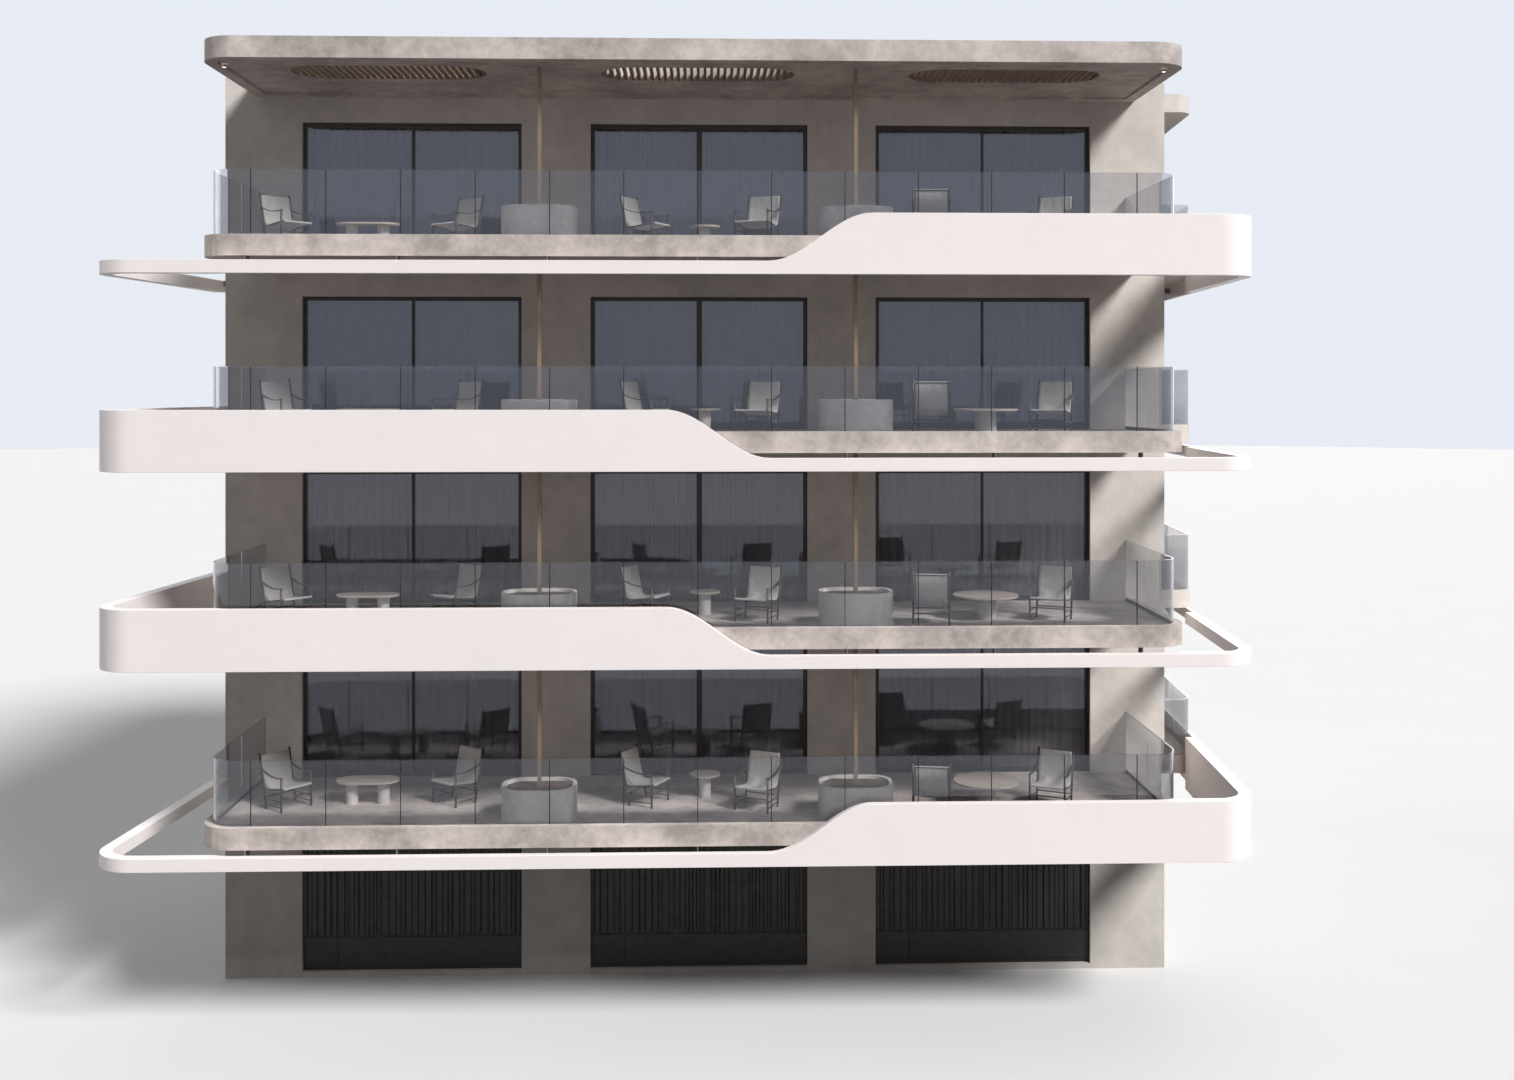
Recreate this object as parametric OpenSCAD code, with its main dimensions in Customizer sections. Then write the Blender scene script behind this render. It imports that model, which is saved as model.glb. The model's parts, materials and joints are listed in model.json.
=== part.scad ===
// Five-storey apartment block. Three garage bays stand at ground level, and the four storeys
// above have full-width balconies, each with a white ribbon band floating in front of its slab.
// Sizes are in millimetres. X runs along the front, Y runs back from it and Z runs up.
// The origin lies on the ground, halfway between the front wall and the rear wall.
// The drawing itself is made from the front wall's face, and on_plot() moves it to the origin.

/* [Storeys] */
// Height of the wall between a garage opening's head and the slab above it
ground_lintel_h = 765; // [600:5:1000]
// Height of the wall between a window's head and the slab above it
lintel_h = 440; // [300:10:600]
// Thickness of the slab under the ground floor
base_t = 95; // [60:5:150]

/* [Walls] */
// Width of the front wall
front_w = 16820; // [16600:20:18000]
// Distance from the front wall's face to the rear wall's face
body_d = 12000; // [9500:100:15000]
// Thickness of the outer walls
wall_t = 250; // [200:10:400]
// Sideways lean of the side walls for each unit of depth
side_lean = 0.09; // [0:0.01:0.12]

/* [Bays] */
// Distance between the middles of two bays
bay_pitch = 5115; // [4900:5:5300]
// Width of a window or garage opening in the front
bay_w = 3890; // [3400:10:4000]
// Height of an upper window from the floor to its head
window_h = 2380; // [2200:10:2500]
// Height of a garage opening
garage_h = 2400; // [2200:10:2600]
// Depth of the reveal in front of a window frame
reveal_d = 90; // [60:5:120]

/* [Window frames] */
// Width of a window's outer frame
frame_w = 25; // [15:1:50]
// Width of the stiles and rails of a sliding leaf
stile_w = 48; // [35:1:80]
// Depth of a frame from front to back
frame_d = 80; // [70:1:110]
// Thickness of a sliding leaf
leaf_d = 32; // [26:1:34]
// Thickness of a glazing unit
glazing_t = 22; // [16:1:25]

/* [Garage fronts] */
// Width of the fixed panel beside each garage door
side_panel_w = 620; // [450:10:800]
// Thickness of a door and of its fixed panel
door_t = 45; // [35:5:60]
// Height of one section of a door
section_h = 600; // [500:10:600]
// Width of the joint between two sections or panels
door_joint_w = 8; // [4:1:12]
// Height of the rail along the foot of a door
door_foot_h = 70; // [40:5:90]

/* [Balconies] */
// Width of a balcony slab
balcony_w = 15700; // [15400:20:16400]
// How far a balcony stands out from the front wall
balcony_d = 3320; // [2900:20:3700]
// Thickness of a slab at its edge
slab_t = 340; // [300:10:400]
// Height of the rim above a balcony's floor
rim_h = 60; // [30:5:100]
// Width of the rim
rim_w = 130; // [90:5:180]
// Radius of a balcony's front corners
balcony_r = 560; // [400:10:700]

/* [Balustrades] */
// Height of the glass above the rim
glass_h = 1030; // [900:10:1200]
// Thickness of a balustrade pane
pane_t = 18; // [12:1:24]
// Width of the open joint between two panes
pane_joint_w = 8; // [4:1:15]
// Width of a front pane from joint to joint
pane_pitch = 1170; // [1100:5:1185]

/* [Ribbon bands] */
// Distance from a slab's front edge to the outer face of its ribbon
ribbon_out = 160; // [120:10:240]
// Distance from the side walls to the outer face of a ribbon
ribbon_side = 800; // [600:10:900]
// Thickness of a ribbon
ribbon_t = 200; // [140:10:260]
// Thickness of a ribbon where it passes the side balconies
ribbon_skin_t = 60; // [40:5:90]
// Gap between a ribbon and the edge of its slab
ribbon_gap = 20; // [10:5:40]
// Distance from a slab's rim down to the lower edge of its ribbon
ribbon_drop = 625; // [560:5:700]
// Height of a ribbon's low stretch
ribbon_low_h = 210; // [180:10:280]
// Height of a ribbon's high stretch
ribbon_high_h = 970; // [850:10:1150]
// Radius of a ribbon's corners
ribbon_r = 650; // [500:10:800]
// Length of the curve between a ribbon's low and high stretches
sweep_w = 1650; // [1200:50:2200]
// Middle of the curve on the ribbons that rise to the right
rise_x = 1930; // [1000:10:2400]
// Middle of the curve on the ribbons that fall to the right
fall_x = 320; // [-600:10:800]
// How far a ribbon runs back past the front wall on the left
left_run = 1500; // [900:50:2500]

/* [Ribbon brackets] */
// Thickness of a bracket plate
bracket_t = 15; // [10:1:25]
// Height of a bracket arm
arm_h = 100; // [80:5:120]
// Length of a bracket's seat under a slab
bracket_seat = 220; // [150:10:400]

/* [Roof] */
// Length of a slatted opening in the canopy
slot_w = 3200; // [2600:20:3600]
// Width of a slatted opening in the canopy
slot_d = 1060; // [800:10:1300]
// Distance from the front wall to the middle of the openings
slot_y = 1960; // [1700:10:2100]
// Distance from one slat to the next
slat_pitch = 111; // [90:1:140]
// Thickness of a slat
slat_t = 45; // [30:1:60]
// Height of a slat
slat_h = 120; // [80:5:140]
// Depth of the panel sunk into the canopy's underside
soffit_d = 45; // [20:5:60]
// Width of the rim around the sunk panel
soffit_rim_w = 200; // [120:10:300]
// Depth of the planting tray in the top of the roof
tray_d = 130; // [60:10:150]
// Width of the kerb around the tray and the openings
kerb_w = 220; // [150:10:300]

/* [Planters and posts] */
// Width of a planter tub along the balcony
planter_w = 1200; // [900:10:1400]
// Depth of a planter tub
planter_d = 900; // [700:10:1100]
// Height of a planter tub above the floor
planter_h = 560; // [400:10:700]
// Radius of a planter tub's corners
planter_r = 380; // [200:10:440]
// Thickness of a planter tub's wall
planter_wall_t = 60; // [40:5:90]
// Depth from a planter's rim to its soil
soil_drop = 90; // [50:5:200]
// Gap between a planter and the glass in front of it
planter_gap = 60; // [20:5:150]
// Width of a divider post
post_w = 65; // [50:5:90]

/* [Chairs and tables] */
// Width of a chair
chair_w = 620; // [540:5:700]
// Depth of a chair from front to back
chair_d = 680; // [600:5:760]
// Height of a chair's back
chair_h = 895; // [780:5:950]
// Height of a chair's arms
chair_arm_h = 560; // [500:5:640]
// Height of the front edge of a seat
seat_h = 390; // [340:5:440]
// Thickness of a chair's bars
bar_t = 24; // [16:1:30]
// Thickness of a seat's sling
sling_t = 12; // [8:1:20]
// Diameter of the large round table
table_d = 1080; // [900:10:1200]
// Length of the oblong low table
low_table_w = 1040; // [900:10:1200]
// Diameter of the small table and width of the oblong one
small_table_d = 520; // [400:10:600]
// Height of the tables
table_h = 400; // [350:5:450]
// Thickness of a table's top
top_t = 30; // [20:1:50]
// Diameter of the large table's drum
drum_d = 360; // [300:5:450]
// Diameter of the drums under the other tables
small_drum_d = 200; // [150:5:260]

/* [Side balconies] */
// Distance from the front wall to the start of the side balconies
side_y = 1000; // [600:50:2000]
// Length of the side balconies
side_len = 5500; // [4500:100:6500]
// Width of the door onto a side balcony
side_door_w = 1800; // [1200:50:2200]
// Distance from a side balcony's start to its door
side_door_inset = 2000; // [1400:50:2200]
// Radius of a side balcony's front corner
side_r = 350; // [200:10:500]

/* [Rear] */
// Width of a rear window
rear_window_w = 2400; // [1800:50:3000]
// Height of a rear window's sill above the floor
sill_h = 900; // [700:20:1100]

/* [Curtains] */
// Thickness of a hanging curtain with its folds
curtain_t = 90; // [60:5:130]
// Gap between the front wall and a curtain
curtain_gap = 60; // [30:5:150]
// Height of a curtain rail
curtain_rail_h = 35; // [20:5:50]

/* [Hidden] */
storeys = 4;
front_panes = 12;
side_panes = 4;
arc_steps = 10;
storey_h = slab_t - rim_h + window_h + lintel_h;
ground_storey_h = base_t + garage_h + ground_lintel_h + slab_t;
half_w = front_w / 2;
half_balcony = balcony_w / 2;
half_bay = bay_w / 2;
lean_length = sqrt(1 + side_lean * side_lean);
roof_z = ground_storey_h + storeys * storey_h - slab_t;
pier_x = bay_pitch / 2;
pane_y = -balcony_d + rim_w;
pane_x = half_balcony - rim_w;
pane_r = balcony_r - rim_w;
ribbon_y = -balcony_d - ribbon_out;
side_out = ribbon_side - ribbon_skin_t;
right_run = side_y + side_len;
planter_y = pane_y + pane_t + planter_gap + planter_d / 2;
side_door_y = side_y + side_door_inset;
curtain_y = wall_t - reveal_d + curtain_gap;
hang_gap = 0.3;
past = 10;
seat_fall = 0.1;
back_slope = 0.21;
low_table_at = [-1.081 * bay_pitch, -0.497 * balcony_d];
small_table_at = [0.021 * bay_pitch, -0.428 * balcony_d];
table_at = [0.938 * bay_pitch, -0.602 * balcony_d];
CHAIRS = [[-1.338, -0.548, 51], [-0.792, -0.482, -40], [-0.175, -0.526, 64], [0.193, -0.633, -25],
          [0.743, -0.78, 172], [1.148, -0.648, -27]];

function rim_z(n) = ground_storey_h + (n - 1) * storey_h;
function floor_z(n) = n == 0 ? base_t : rim_z(n) - rim_h;
function ceiling_z(n) = rim_z(n + 1) - slab_t;
function lean(y) = side_lean * y;
function arc_points(centre, r, from, to) =
    [for (i = [0 : arc_steps]) let (a = from + (to - from) * i / arc_steps) centre + r * [cos(a), sin(a)]];

module on_plot() {
    translate([0, -body_d / 2, 0]) children();
}

// Block between two heights whose left and right ends are given at its front and at its back
module block(front, back, y0, y1, z0, z1) {
    translate([0, 0, z0])
        linear_extrude(z1 - z0)
            polygon([[front[0], y0], [front[1], y0], [back[1], y1], [back[0], y1]]);
}

// Four piers of one storey of a wall, between three openings
module piers(y0, y1, shift, opening_w, z0, z1) {
    half = opening_w / 2;
    left = shift - bay_pitch;
    right = shift + bay_pitch;
    block([-half_w + lean(y0), left - half], [-half_w + lean(y1), left - half], y0, y1, z0, z1);
    block([left + half, shift - half], [left + half, shift - half], y0, y1, z0, z1);
    block([shift + half, right - half], [shift + half, right - half], y0, y1, z0, z1);
    block([right + half, half_w + lean(y0)], [right + half, half_w + lean(y1)], y0, y1, z0, z1);
}

// Full-width band of a wall
module wall_band(y0, y1, z0, z1) {
    block([-half_w + lean(y0), half_w + lean(y0)], [-half_w + lean(y1), half_w + lean(y1)], y0, y1, z0, z1);
}

module ground_slab() {
    color("gray") on_plot() wall_band(0, body_d, 0, base_t);
}

module ground_front_piers() {
    color("tan") on_plot() piers(0, wall_t, 0, bay_w, base_t, base_t + garage_h);
}

module front_piers() {
    color("tan") on_plot()
        for (n = [1 : storeys])
            piers(0, wall_t, 0, bay_w, floor_z(n), floor_z(n) + window_h);
}

module front_lintels() {
    color("tan") on_plot() {
        wall_band(0, wall_t, base_t + garage_h, ceiling_z(0));
        for (n = [1 : storeys])
            wall_band(0, wall_t, floor_z(n) + window_h, ceiling_z(n));
    }
}

// Stretch of a side wall on one storey, where side is -1 on the left and 1 on the right
module side_wall_block(side, y0, y1, z0, z1) {
    outer0 = side * half_w + lean(y0);
    outer1 = side * half_w + lean(y1);
    inner0 = outer0 - side * wall_t;
    inner1 = outer1 - side * wall_t;
    block([min(outer0, inner0), max(outer0, inner0)], [min(outer1, inner1), max(outer1, inner1)],
          y0, y1, z0, z1);
}

module left_wall() {
    color("tan") on_plot()
        for (n = [0 : storeys])
            side_wall_block(-1, wall_t, body_d - wall_t, floor_z(n), ceiling_z(n));
}

module right_wall() {
    color("tan") on_plot() {
        side_wall_block(1, wall_t, body_d - wall_t, floor_z(0), ceiling_z(0));
        for (n = [1 : storeys]) {
            side_wall_block(1, wall_t, side_door_y, floor_z(n), ceiling_z(n));
            side_wall_block(1, side_door_y + side_door_w, body_d - wall_t, floor_z(n), ceiling_z(n));
        }
    }
}

module right_wall_spandrels() {
    color("tan") on_plot()
        for (n = [1 : storeys])
            side_wall_block(1, side_door_y, side_door_y + side_door_w, floor_z(n) + window_h, ceiling_z(n));
}

module rear_piers() {
    color("tan") on_plot()
        for (n = [0 : storeys])
            piers(body_d - wall_t, body_d, lean(body_d), rear_window_w,
                  floor_z(n) + sill_h, floor_z(n) + window_h);
}

module rear_bands() {
    color("tan") on_plot()
        for (n = [0 : storeys]) {
            wall_band(body_d - wall_t, body_d, floor_z(n), floor_z(n) + sill_h);
            wall_band(body_d - wall_t, body_d, floor_z(n) + window_h, ceiling_z(n));
        }
}

// Outline of a balcony set in by a distance, with round front corners
module balcony_outline(inset, back) {
    w = half_balcony - inset;
    r = balcony_r - inset;
    front = -balcony_d + inset;
    translate([-w + r, front]) square([2 * (w - r), back - front]);
    translate([-w, front + r]) square([2 * w, back - front - r]);
    for (side = [-1, 1])
        translate([side * (w - r), front + r]) circle(r, $fn = 96);
}

module body_outline() {
    polygon([[-half_w, 0], [half_w, 0], [half_w + lean(body_d), body_d], [-half_w + lean(body_d), body_d]]);
}

// Storey slab with its balcony, whose floor lies below the rim
module floor_slab(n) {
    color("silver") on_plot() {
        translate([0, 0, rim_z(n) - slab_t])
            linear_extrude(slab_t - rim_h)
                union() {
                    balcony_outline(0, past);
                    body_outline();
                }
        translate([0, 0, floor_z(n)])
            linear_extrude(rim_h)
                difference() {
                    balcony_outline(0, 0);
                    balcony_outline(rim_w, past);
                }
    }
}

// Outline of one slatted opening with round ends, grown by a distance
module slot_outline(grow) {
    r = slot_d / 2 + grow;
    reach = (slot_w - slot_d) / 2;
    translate([-reach, -r]) square([2 * reach, 2 * r]);
    for (side = [-1, 1])
        translate([side * reach, 0]) circle(r, $fn = 96);
}

module at_each_slot() {
    for (bay = [-1 : 1])
        translate([bay * bay_pitch, -slot_y, 0]) children();
}

module roof_canopy() {
    color("silver") on_plot()
        difference() {
            translate([0, 0, roof_z])
                linear_extrude(slab_t)
                    union() {
                        balcony_outline(0, past);
                        body_outline();
                    }
            translate([0, 0, roof_z - past])
                linear_extrude(soffit_d + past)
                    balcony_outline(soffit_rim_w, -soffit_rim_w);
            translate([0, 0, roof_z + slab_t - tray_d])
                linear_extrude(tray_d + past)
                    difference() {
                        balcony_outline(kerb_w, -kerb_w);
                        at_each_slot() slot_outline(kerb_w / 2);
                    }
            at_each_slot()
                translate([0, 0, roof_z - past])
                    linear_extrude(slab_t + 2 * past)
                        slot_outline(0);
        }
}

module canopy_slats() {
    slats = floor(slot_w / slat_pitch / 2);
    color("linen") on_plot()
        at_each_slot()
            translate([0, 0, roof_z + soffit_d])
                linear_extrude(slat_h)
                    intersection() {
                        slot_outline(0);
                        for (i = [-slats : slats])
                            translate([i * slat_pitch - slat_t / 2, -slot_d])
                                square([slat_t, 2 * slot_d]);
                    }
}

// Points of a ribbon's plan, set in by a distance, from the left side round the front to the right side
function ribbon_points(inset, back) =
    let (r = ribbon_r - inset,
         cy = ribbon_y + ribbon_r,
         edge = half_w + ribbon_side - inset * lean_length,
         cx = half_w + ribbon_side - ribbon_r * lean_length,
         turn = atan(side_lean))
    concat([[-edge + lean(back), back]],
           arc_points([-cx + lean(cy), cy], r, 180 - turn, 270),
           arc_points([cx + lean(cy), cy], r, 270, 360 - turn),
           [[edge + lean(back), back]]);

// Height of a rising ribbon's upper edge at a share of its curve
function sweep_z(share) = ribbon_low_h + (ribbon_high_h - ribbon_low_h) * (1 - cos(180 * share)) / 2;

// Front view of a ribbon: its upper edge climbs from the low to the high stretch along an S
module ribbon_profile(middle, rises) {
    side = rises ? 1 : -1;
    far = front_w;
    polygon(concat([[middle - side * far, 0], [middle - side * far, ribbon_low_h]],
                   [for (i = [0 : 2 * arc_steps])
                       let (share = i / (2 * arc_steps))
                       [middle + side * sweep_w * (share - 0.5), sweep_z(share)]],
                   [[middle + side * far, ribbon_high_h], [middle + side * far, 0]]));
}

// Plan of a ribbon, which makes room for its slab and is thin beside the side balconies
module ribbon_outline() {
    difference() {
        polygon(ribbon_points(0, right_run));
        polygon(ribbon_points(ribbon_t, right_run + past));
        balcony_outline(-ribbon_gap, 0);
        intersection() {
            polygon(ribbon_points(ribbon_skin_t, right_run + past));
            translate([0, side_y - ribbon_gap]) square([front_w, body_d]);
        }
        translate([-2 * front_w, left_run]) square([2 * front_w, body_d]);
    }
}

module ribbon(n, middle, rises) {
    color("white") on_plot()
        translate([0, 0, rim_z(n) - ribbon_drop])
            intersection() {
                linear_extrude(ribbon_high_h)
                    ribbon_outline();
                translate([0, body_d, 0])
                    rotate([90, 0, 0])
                        linear_extrude(2 * body_d)
                            ribbon_profile(middle, rises);
            }
}

// Plates under the slab and arms on the side walls that hold one ribbon
module brackets(n) {
    seat_z = rim_z(n) - slab_t;
    arm_z = rim_z(n) - ribbon_drop + ribbon_low_h;
    foot = seat_z - (ribbon_drop - slab_t) / 2 - arm_h / 2;
    gap = (half_balcony - balcony_r - bracket_seat) / 3;
    for (i = [-3 : 3])
        translate([i * gap - bracket_t / 2, -balcony_d - ribbon_gap, foot])
            cube([bracket_t, ribbon_gap + bracket_seat, seat_z - foot]);
    arm(-1, left_run - arm_h, arm_z, ribbon_t);
    for (y = [side_door_y, right_run - arm_h])
        arm(1, y, arm_z, ribbon_skin_t);
}

// Arm from a side wall out to a ribbon of the given thickness
module arm(side, y, z, skin) {
    width = arm_h / 2;
    run = half_w + ribbon_side - skin * lean_length;
    inner0 = side * half_w + lean(y);
    inner1 = side * half_w + lean(y + width);
    outer0 = side * run + lean(y);
    outer1 = side * run + lean(y + width);
    block([min(inner0, outer0), max(inner0, outer0)], [min(inner1, outer1), max(inner1, outer1)],
          y, y + width, z - arm_h, z);
}

module ribbon_brackets() {
    color("dimgray") on_plot()
        for (n = [1 : storeys])
            brackets(n);
}

// Frameless glass along a balcony's front and ends
module balustrade(n) {
    z = floor_z(n);
    h = rim_h + glass_h;
    run = front_panes * pane_pitch;
    color("lightsteelblue") on_plot() {
        for (i = [0 : front_panes - 1])
            translate([-run / 2 + i * pane_pitch + pane_joint_w / 2, pane_y, z])
                cube([pane_pitch - pane_joint_w, pane_t, h]);
        translate([0, 0, z])
            linear_extrude(h) {
                corner_pane(run / 2 + pane_joint_w / 2);
                mirror([1, 0]) corner_pane(run / 2 + pane_joint_w / 2);
            }
        for (side = [-1, 1])
            end_panes(side * pane_x, -side * pane_t, pane_y + pane_r + pane_joint_w, 0, z, h);
    }
}

// Plan of a bent corner pane, which starts at a distance from the middle and turns to the side
module corner_pane(start) {
    turn_x = pane_x - pane_r;
    translate([start, pane_y]) square([turn_x - start, pane_t]);
    translate([turn_x, pane_y + pane_r])
        intersection() {
            difference() {
                circle(pane_r, $fn = 96);
                circle(pane_r - pane_t, $fn = 96);
            }
            translate([0, -pane_r]) square(pane_r);
        }
}

// Two panes along a balcony's end, from one plane inwards
module end_panes(x, thick, y0, y1, z, h) {
    pitch = (y1 - y0 + pane_joint_w) / 2;
    for (i = [0, 1])
        translate([min(x, x + thick), y0 + i * pitch, z])
            cube([abs(thick), pitch - pane_joint_w, h]);
}

// Width of one of two sliding leaves whose stiles overlap by a distance
function leaf_w(w, overlap) = (w - 2 * frame_w + overlap) / 2;

// Places something in each of two leaves, the second one behind the first where they overlap
module at_leaves(w, overlap) {
    for (i = [0, 1])
        translate([frame_w + i * (leaf_w(w, overlap) - overlap),
                   frame_d / 2 - leaf_d + (overlap > 0 ? i * leaf_d : 0), frame_w])
            children();
}

// Window frame with two sliding leaves, from the corner of its opening
module window_frame(w, h, overlap) {
    leaf_h = h - 2 * frame_w;
    difference() {
        cube([w, frame_d, h]);
        translate([frame_w, -past, frame_w])
            cube([w - 2 * frame_w, frame_d + 2 * past, leaf_h]);
    }
    at_leaves(w, overlap)
        difference() {
            cube([leaf_w(w, overlap), leaf_d, leaf_h]);
            translate([stile_w, -past, stile_w])
                cube([leaf_w(w, overlap) - 2 * stile_w, leaf_d + 2 * past, leaf_h - 2 * stile_w]);
        }
}

module window_panes(w, h, overlap) {
    at_leaves(w, overlap)
        translate([stile_w, (leaf_d - glazing_t) / 2, stile_w])
            cube([leaf_w(w, overlap) - 2 * stile_w, glazing_t, h - 2 * frame_w - 2 * stile_w]);
}

module at_front_bays(n, bays = [-1 : 1]) {
    for (bay = bays)
        translate([bay * bay_pitch - half_bay, reveal_d, floor_z(n)]) children();
}

// The leaves of the outer windows slide past each other, and those of the middle one meet edge to edge
module window_frames(n) {
    color("dimgray") on_plot() {
        at_front_bays(n, [-1, 1]) window_frame(bay_w, window_h, stile_w);
        at_front_bays(n, [0]) window_frame(bay_w, window_h, 0);
    }
}

module window_glass() {
    color("slategray") on_plot()
        for (n = [1 : storeys]) {
            at_front_bays(n, [-1, 1]) window_panes(bay_w, window_h, stile_w);
            at_front_bays(n, [0]) window_panes(bay_w, window_h, 0);
        }
}

module at_rear_windows() {
    for (n = [0 : storeys], bay = [-1 : 1])
        translate([lean(body_d) + bay * bay_pitch - rear_window_w / 2, body_d - reveal_d - frame_d,
                   floor_z(n) + sill_h])
            children();
}

module rear_window_frames() {
    color("dimgray") on_plot() at_rear_windows() window_frame(rear_window_w, window_h - sill_h, stile_w);
}

module rear_window_glass() {
    color("slategray") on_plot() at_rear_windows() window_panes(rear_window_w, window_h - sill_h, stile_w);
}

// Sectional door: plain sections one above the other, with narrow joints cut into the face
module garage_door(w) {
    sections = floor(garage_h / section_h);
    difference() {
        cube([w, door_t, garage_h]);
        for (i = [1 : sections - 1])
            translate([-past, -past, i * section_h - door_joint_w / 2])
                cube([w + 2 * past, past + door_joint_w, door_joint_w]);
        translate([-past, -past, door_foot_h])
            cube([w + 2 * past, past + door_joint_w, door_joint_w]);
    }
}

module garage_doors() {
    w = bay_w - side_panel_w;
    color("dimgray") on_plot()
        at_front_bays(0)
            translate([side_panel_w, 0, 0]) garage_door(w);
}

module garage_side_panels() {
    color("dimgray") on_plot()
        at_front_bays(0)
            difference() {
                cube([side_panel_w, door_t, garage_h]);
                translate([side_panel_w - door_joint_w, -past, -past])
                    cube([past + door_joint_w, past + door_joint_w, garage_h + 2 * past]);
            }
}

// Plan of a side balcony set in by a distance, with a round outer front corner
module side_outline(inset) {
    r = side_r - inset;
    y0 = side_y + inset;
    y1 = side_y + side_len - inset;
    out = half_w + side_out - inset;
    polygon(concat([[half_w + lean(y0), y0]],
                   arc_points([out + lean(y0 + r) - r, y0 + r], r, 270, 360 - atan(side_lean)),
                   [[out + lean(y1), y1], [half_w + lean(y1), y1]]));
}

module side_balconies() {
    color("silver") on_plot()
        for (n = [1 : storeys + 1])
            translate([0, 0, rim_z(n) - slab_t])
                linear_extrude(slab_t)
                    side_outline(0);
}

// Glass round the side balconies, with an open joint between two panes
module side_balustrades() {
    first = side_y + side_r;
    last = right_run - 2 * pane_t - pane_joint_w;
    color("slategray") on_plot()
        for (n = [1 : storeys])
            translate([0, 0, rim_z(n)])
                linear_extrude(glass_h)
                    difference() {
                        side_outline(pane_t);
                        side_outline(2 * pane_t);
                        translate([half_w + lean(side_y) + side_out - side_r, side_y])
                            square([pane_joint_w, side_r / 2]);
                        for (i = [0 : side_panes])
                            translate([half_w + side_out / 2, first + i * (last - first) / side_panes])
                                square([half_w, pane_joint_w]);
                    }
}

module at_side_doors() {
    for (n = [1 : storeys])
        translate([half_w + lean(side_door_y) - wall_t / 2, side_door_y, floor_z(n)])
            rotate([0, 0, 90 - atan(side_lean)])
                children();
}

module side_door_frames() {
    color("dimgray") on_plot() at_side_doors() window_frame(side_door_w, window_h, stile_w);
}

module side_door_glass() {
    color("slategray") on_plot() at_side_doors() window_panes(side_door_w, window_h, stile_w);
}

// Rounded tub outline set in by a distance
module tub_outline(inset) {
    w = planter_w / 2 - inset;
    d = planter_d / 2 - inset;
    r = planter_r - inset;
    translate([-w + r, -d]) square([2 * (w - r), 2 * d]);
    translate([-w, -d + r]) square([2 * w, 2 * (d - r)]);
    for (x = [-w + r, w - r], y = [-d + r, d - r])
        translate([x, y]) circle(r, $fn = 64);
}

module at_dividers(n) {
    for (side = [-1, 1])
        translate([side * pier_x, planter_y, floor_z(n)]) children();
}

module planters() {
    color("lightgray") on_plot()
        for (n = [1 : storeys])
            at_dividers(n)
                difference() {
                    linear_extrude(planter_h) tub_outline(0);
                    translate([0, 0, planter_h - soil_drop])
                        linear_extrude(soil_drop + past) tub_outline(planter_wall_t);
                }
}

module divider_posts() {
    color("peru") on_plot()
        for (n = [1 : storeys])
            at_dividers(n)
                translate([-post_w / 2, -post_w / 2, planter_h - soil_drop])
                    cube([post_w, post_w, ceiling_z(n) - floor_z(n) - planter_h + soil_drop]);
}

module curtains() {
    color("ivory") on_plot()
        for (n = [1 : storeys])
            at_front_bays(n)
                translate([frame_w, curtain_y, frame_w])
                    cube([bay_w - 2 * frame_w, curtain_t,
                          ceiling_z(n) - floor_z(n) - curtain_rail_h - hang_gap - frame_w]);
}

module curtain_rails() {
    color("white") on_plot()
        for (n = [1 : storeys])
            at_front_bays(n)
                translate([frame_w, curtain_y, ceiling_z(n) - floor_z(n) - curtain_rail_h])
                    cube([bay_w - 2 * frame_w, curtain_t, curtain_rail_h]);
}

// Bar between two points of a chair's side view
module side_bar(from, to) {
    run = to - from;
    translate(from)
        rotate(atan2(run[1], run[0]))
            translate([0, -bar_t / 2])
                square([norm(run), bar_t]);
}

// Distance of a chair's rear leg from the chair's middle at a height, where the leg leans back
function back_y(z) = chair_d / 2 - bar_t / 2 - back_slope * (chair_h - z);

// Places something at each chair of a storey, where an unturned chair faces the street
module at_chairs() {
    for (n = [1 : storeys], chair = CHAIRS)
        translate([chair[0] * bay_pitch, chair[1] * balcony_d, floor_z(n)])
            rotate([0, 0, chair[2]])
                children();
}

// Solid with a side view that stretches across a chair, less a distance at each side
module across(inset, width) {
    translate([-chair_w / 2 + inset, 0, 0])
        rotate([90, 0, 90])
            linear_extrude(width)
                children();
}

// Side view of the bars at one side of a chair: front leg, arm, rear leg and seat rail
module chair_side() {
    front = -chair_d / 2 + bar_t * 2;
    side_bar([front, 0], [front, chair_arm_h]);
    side_bar([front - bar_t / 2, chair_arm_h], [back_y(chair_arm_h), chair_arm_h]);
    side_bar([front, seat_h - bar_t], [back_y(seat_h), seat_h - bar_t - seat_fall * chair_d]);
    intersection() {
        side_bar([back_y(-bar_t), -bar_t], [back_y(chair_h + bar_t), chair_h + bar_t]);
        translate([-chair_d, 0]) square([2 * chair_d, chair_h]);
    }
}

module chair_frames() {
    color("dimgray") on_plot()
        at_chairs() {
            for (inset = [0, chair_w - bar_t])
                across(inset, bar_t) chair_side();
            for (point = [[-chair_d / 2 + 2 * bar_t, seat_h - 2 * bar_t], [back_y(seat_h / 2), seat_h / 2],
                          [back_y(chair_h) + bar_t / 2, chair_h - 2 * bar_t]])
                across(bar_t, chair_w - 2 * bar_t)
                    translate([point[0] - bar_t / 2, point[1] - bar_t / 2])
                        square(bar_t);
        }
}

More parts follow.
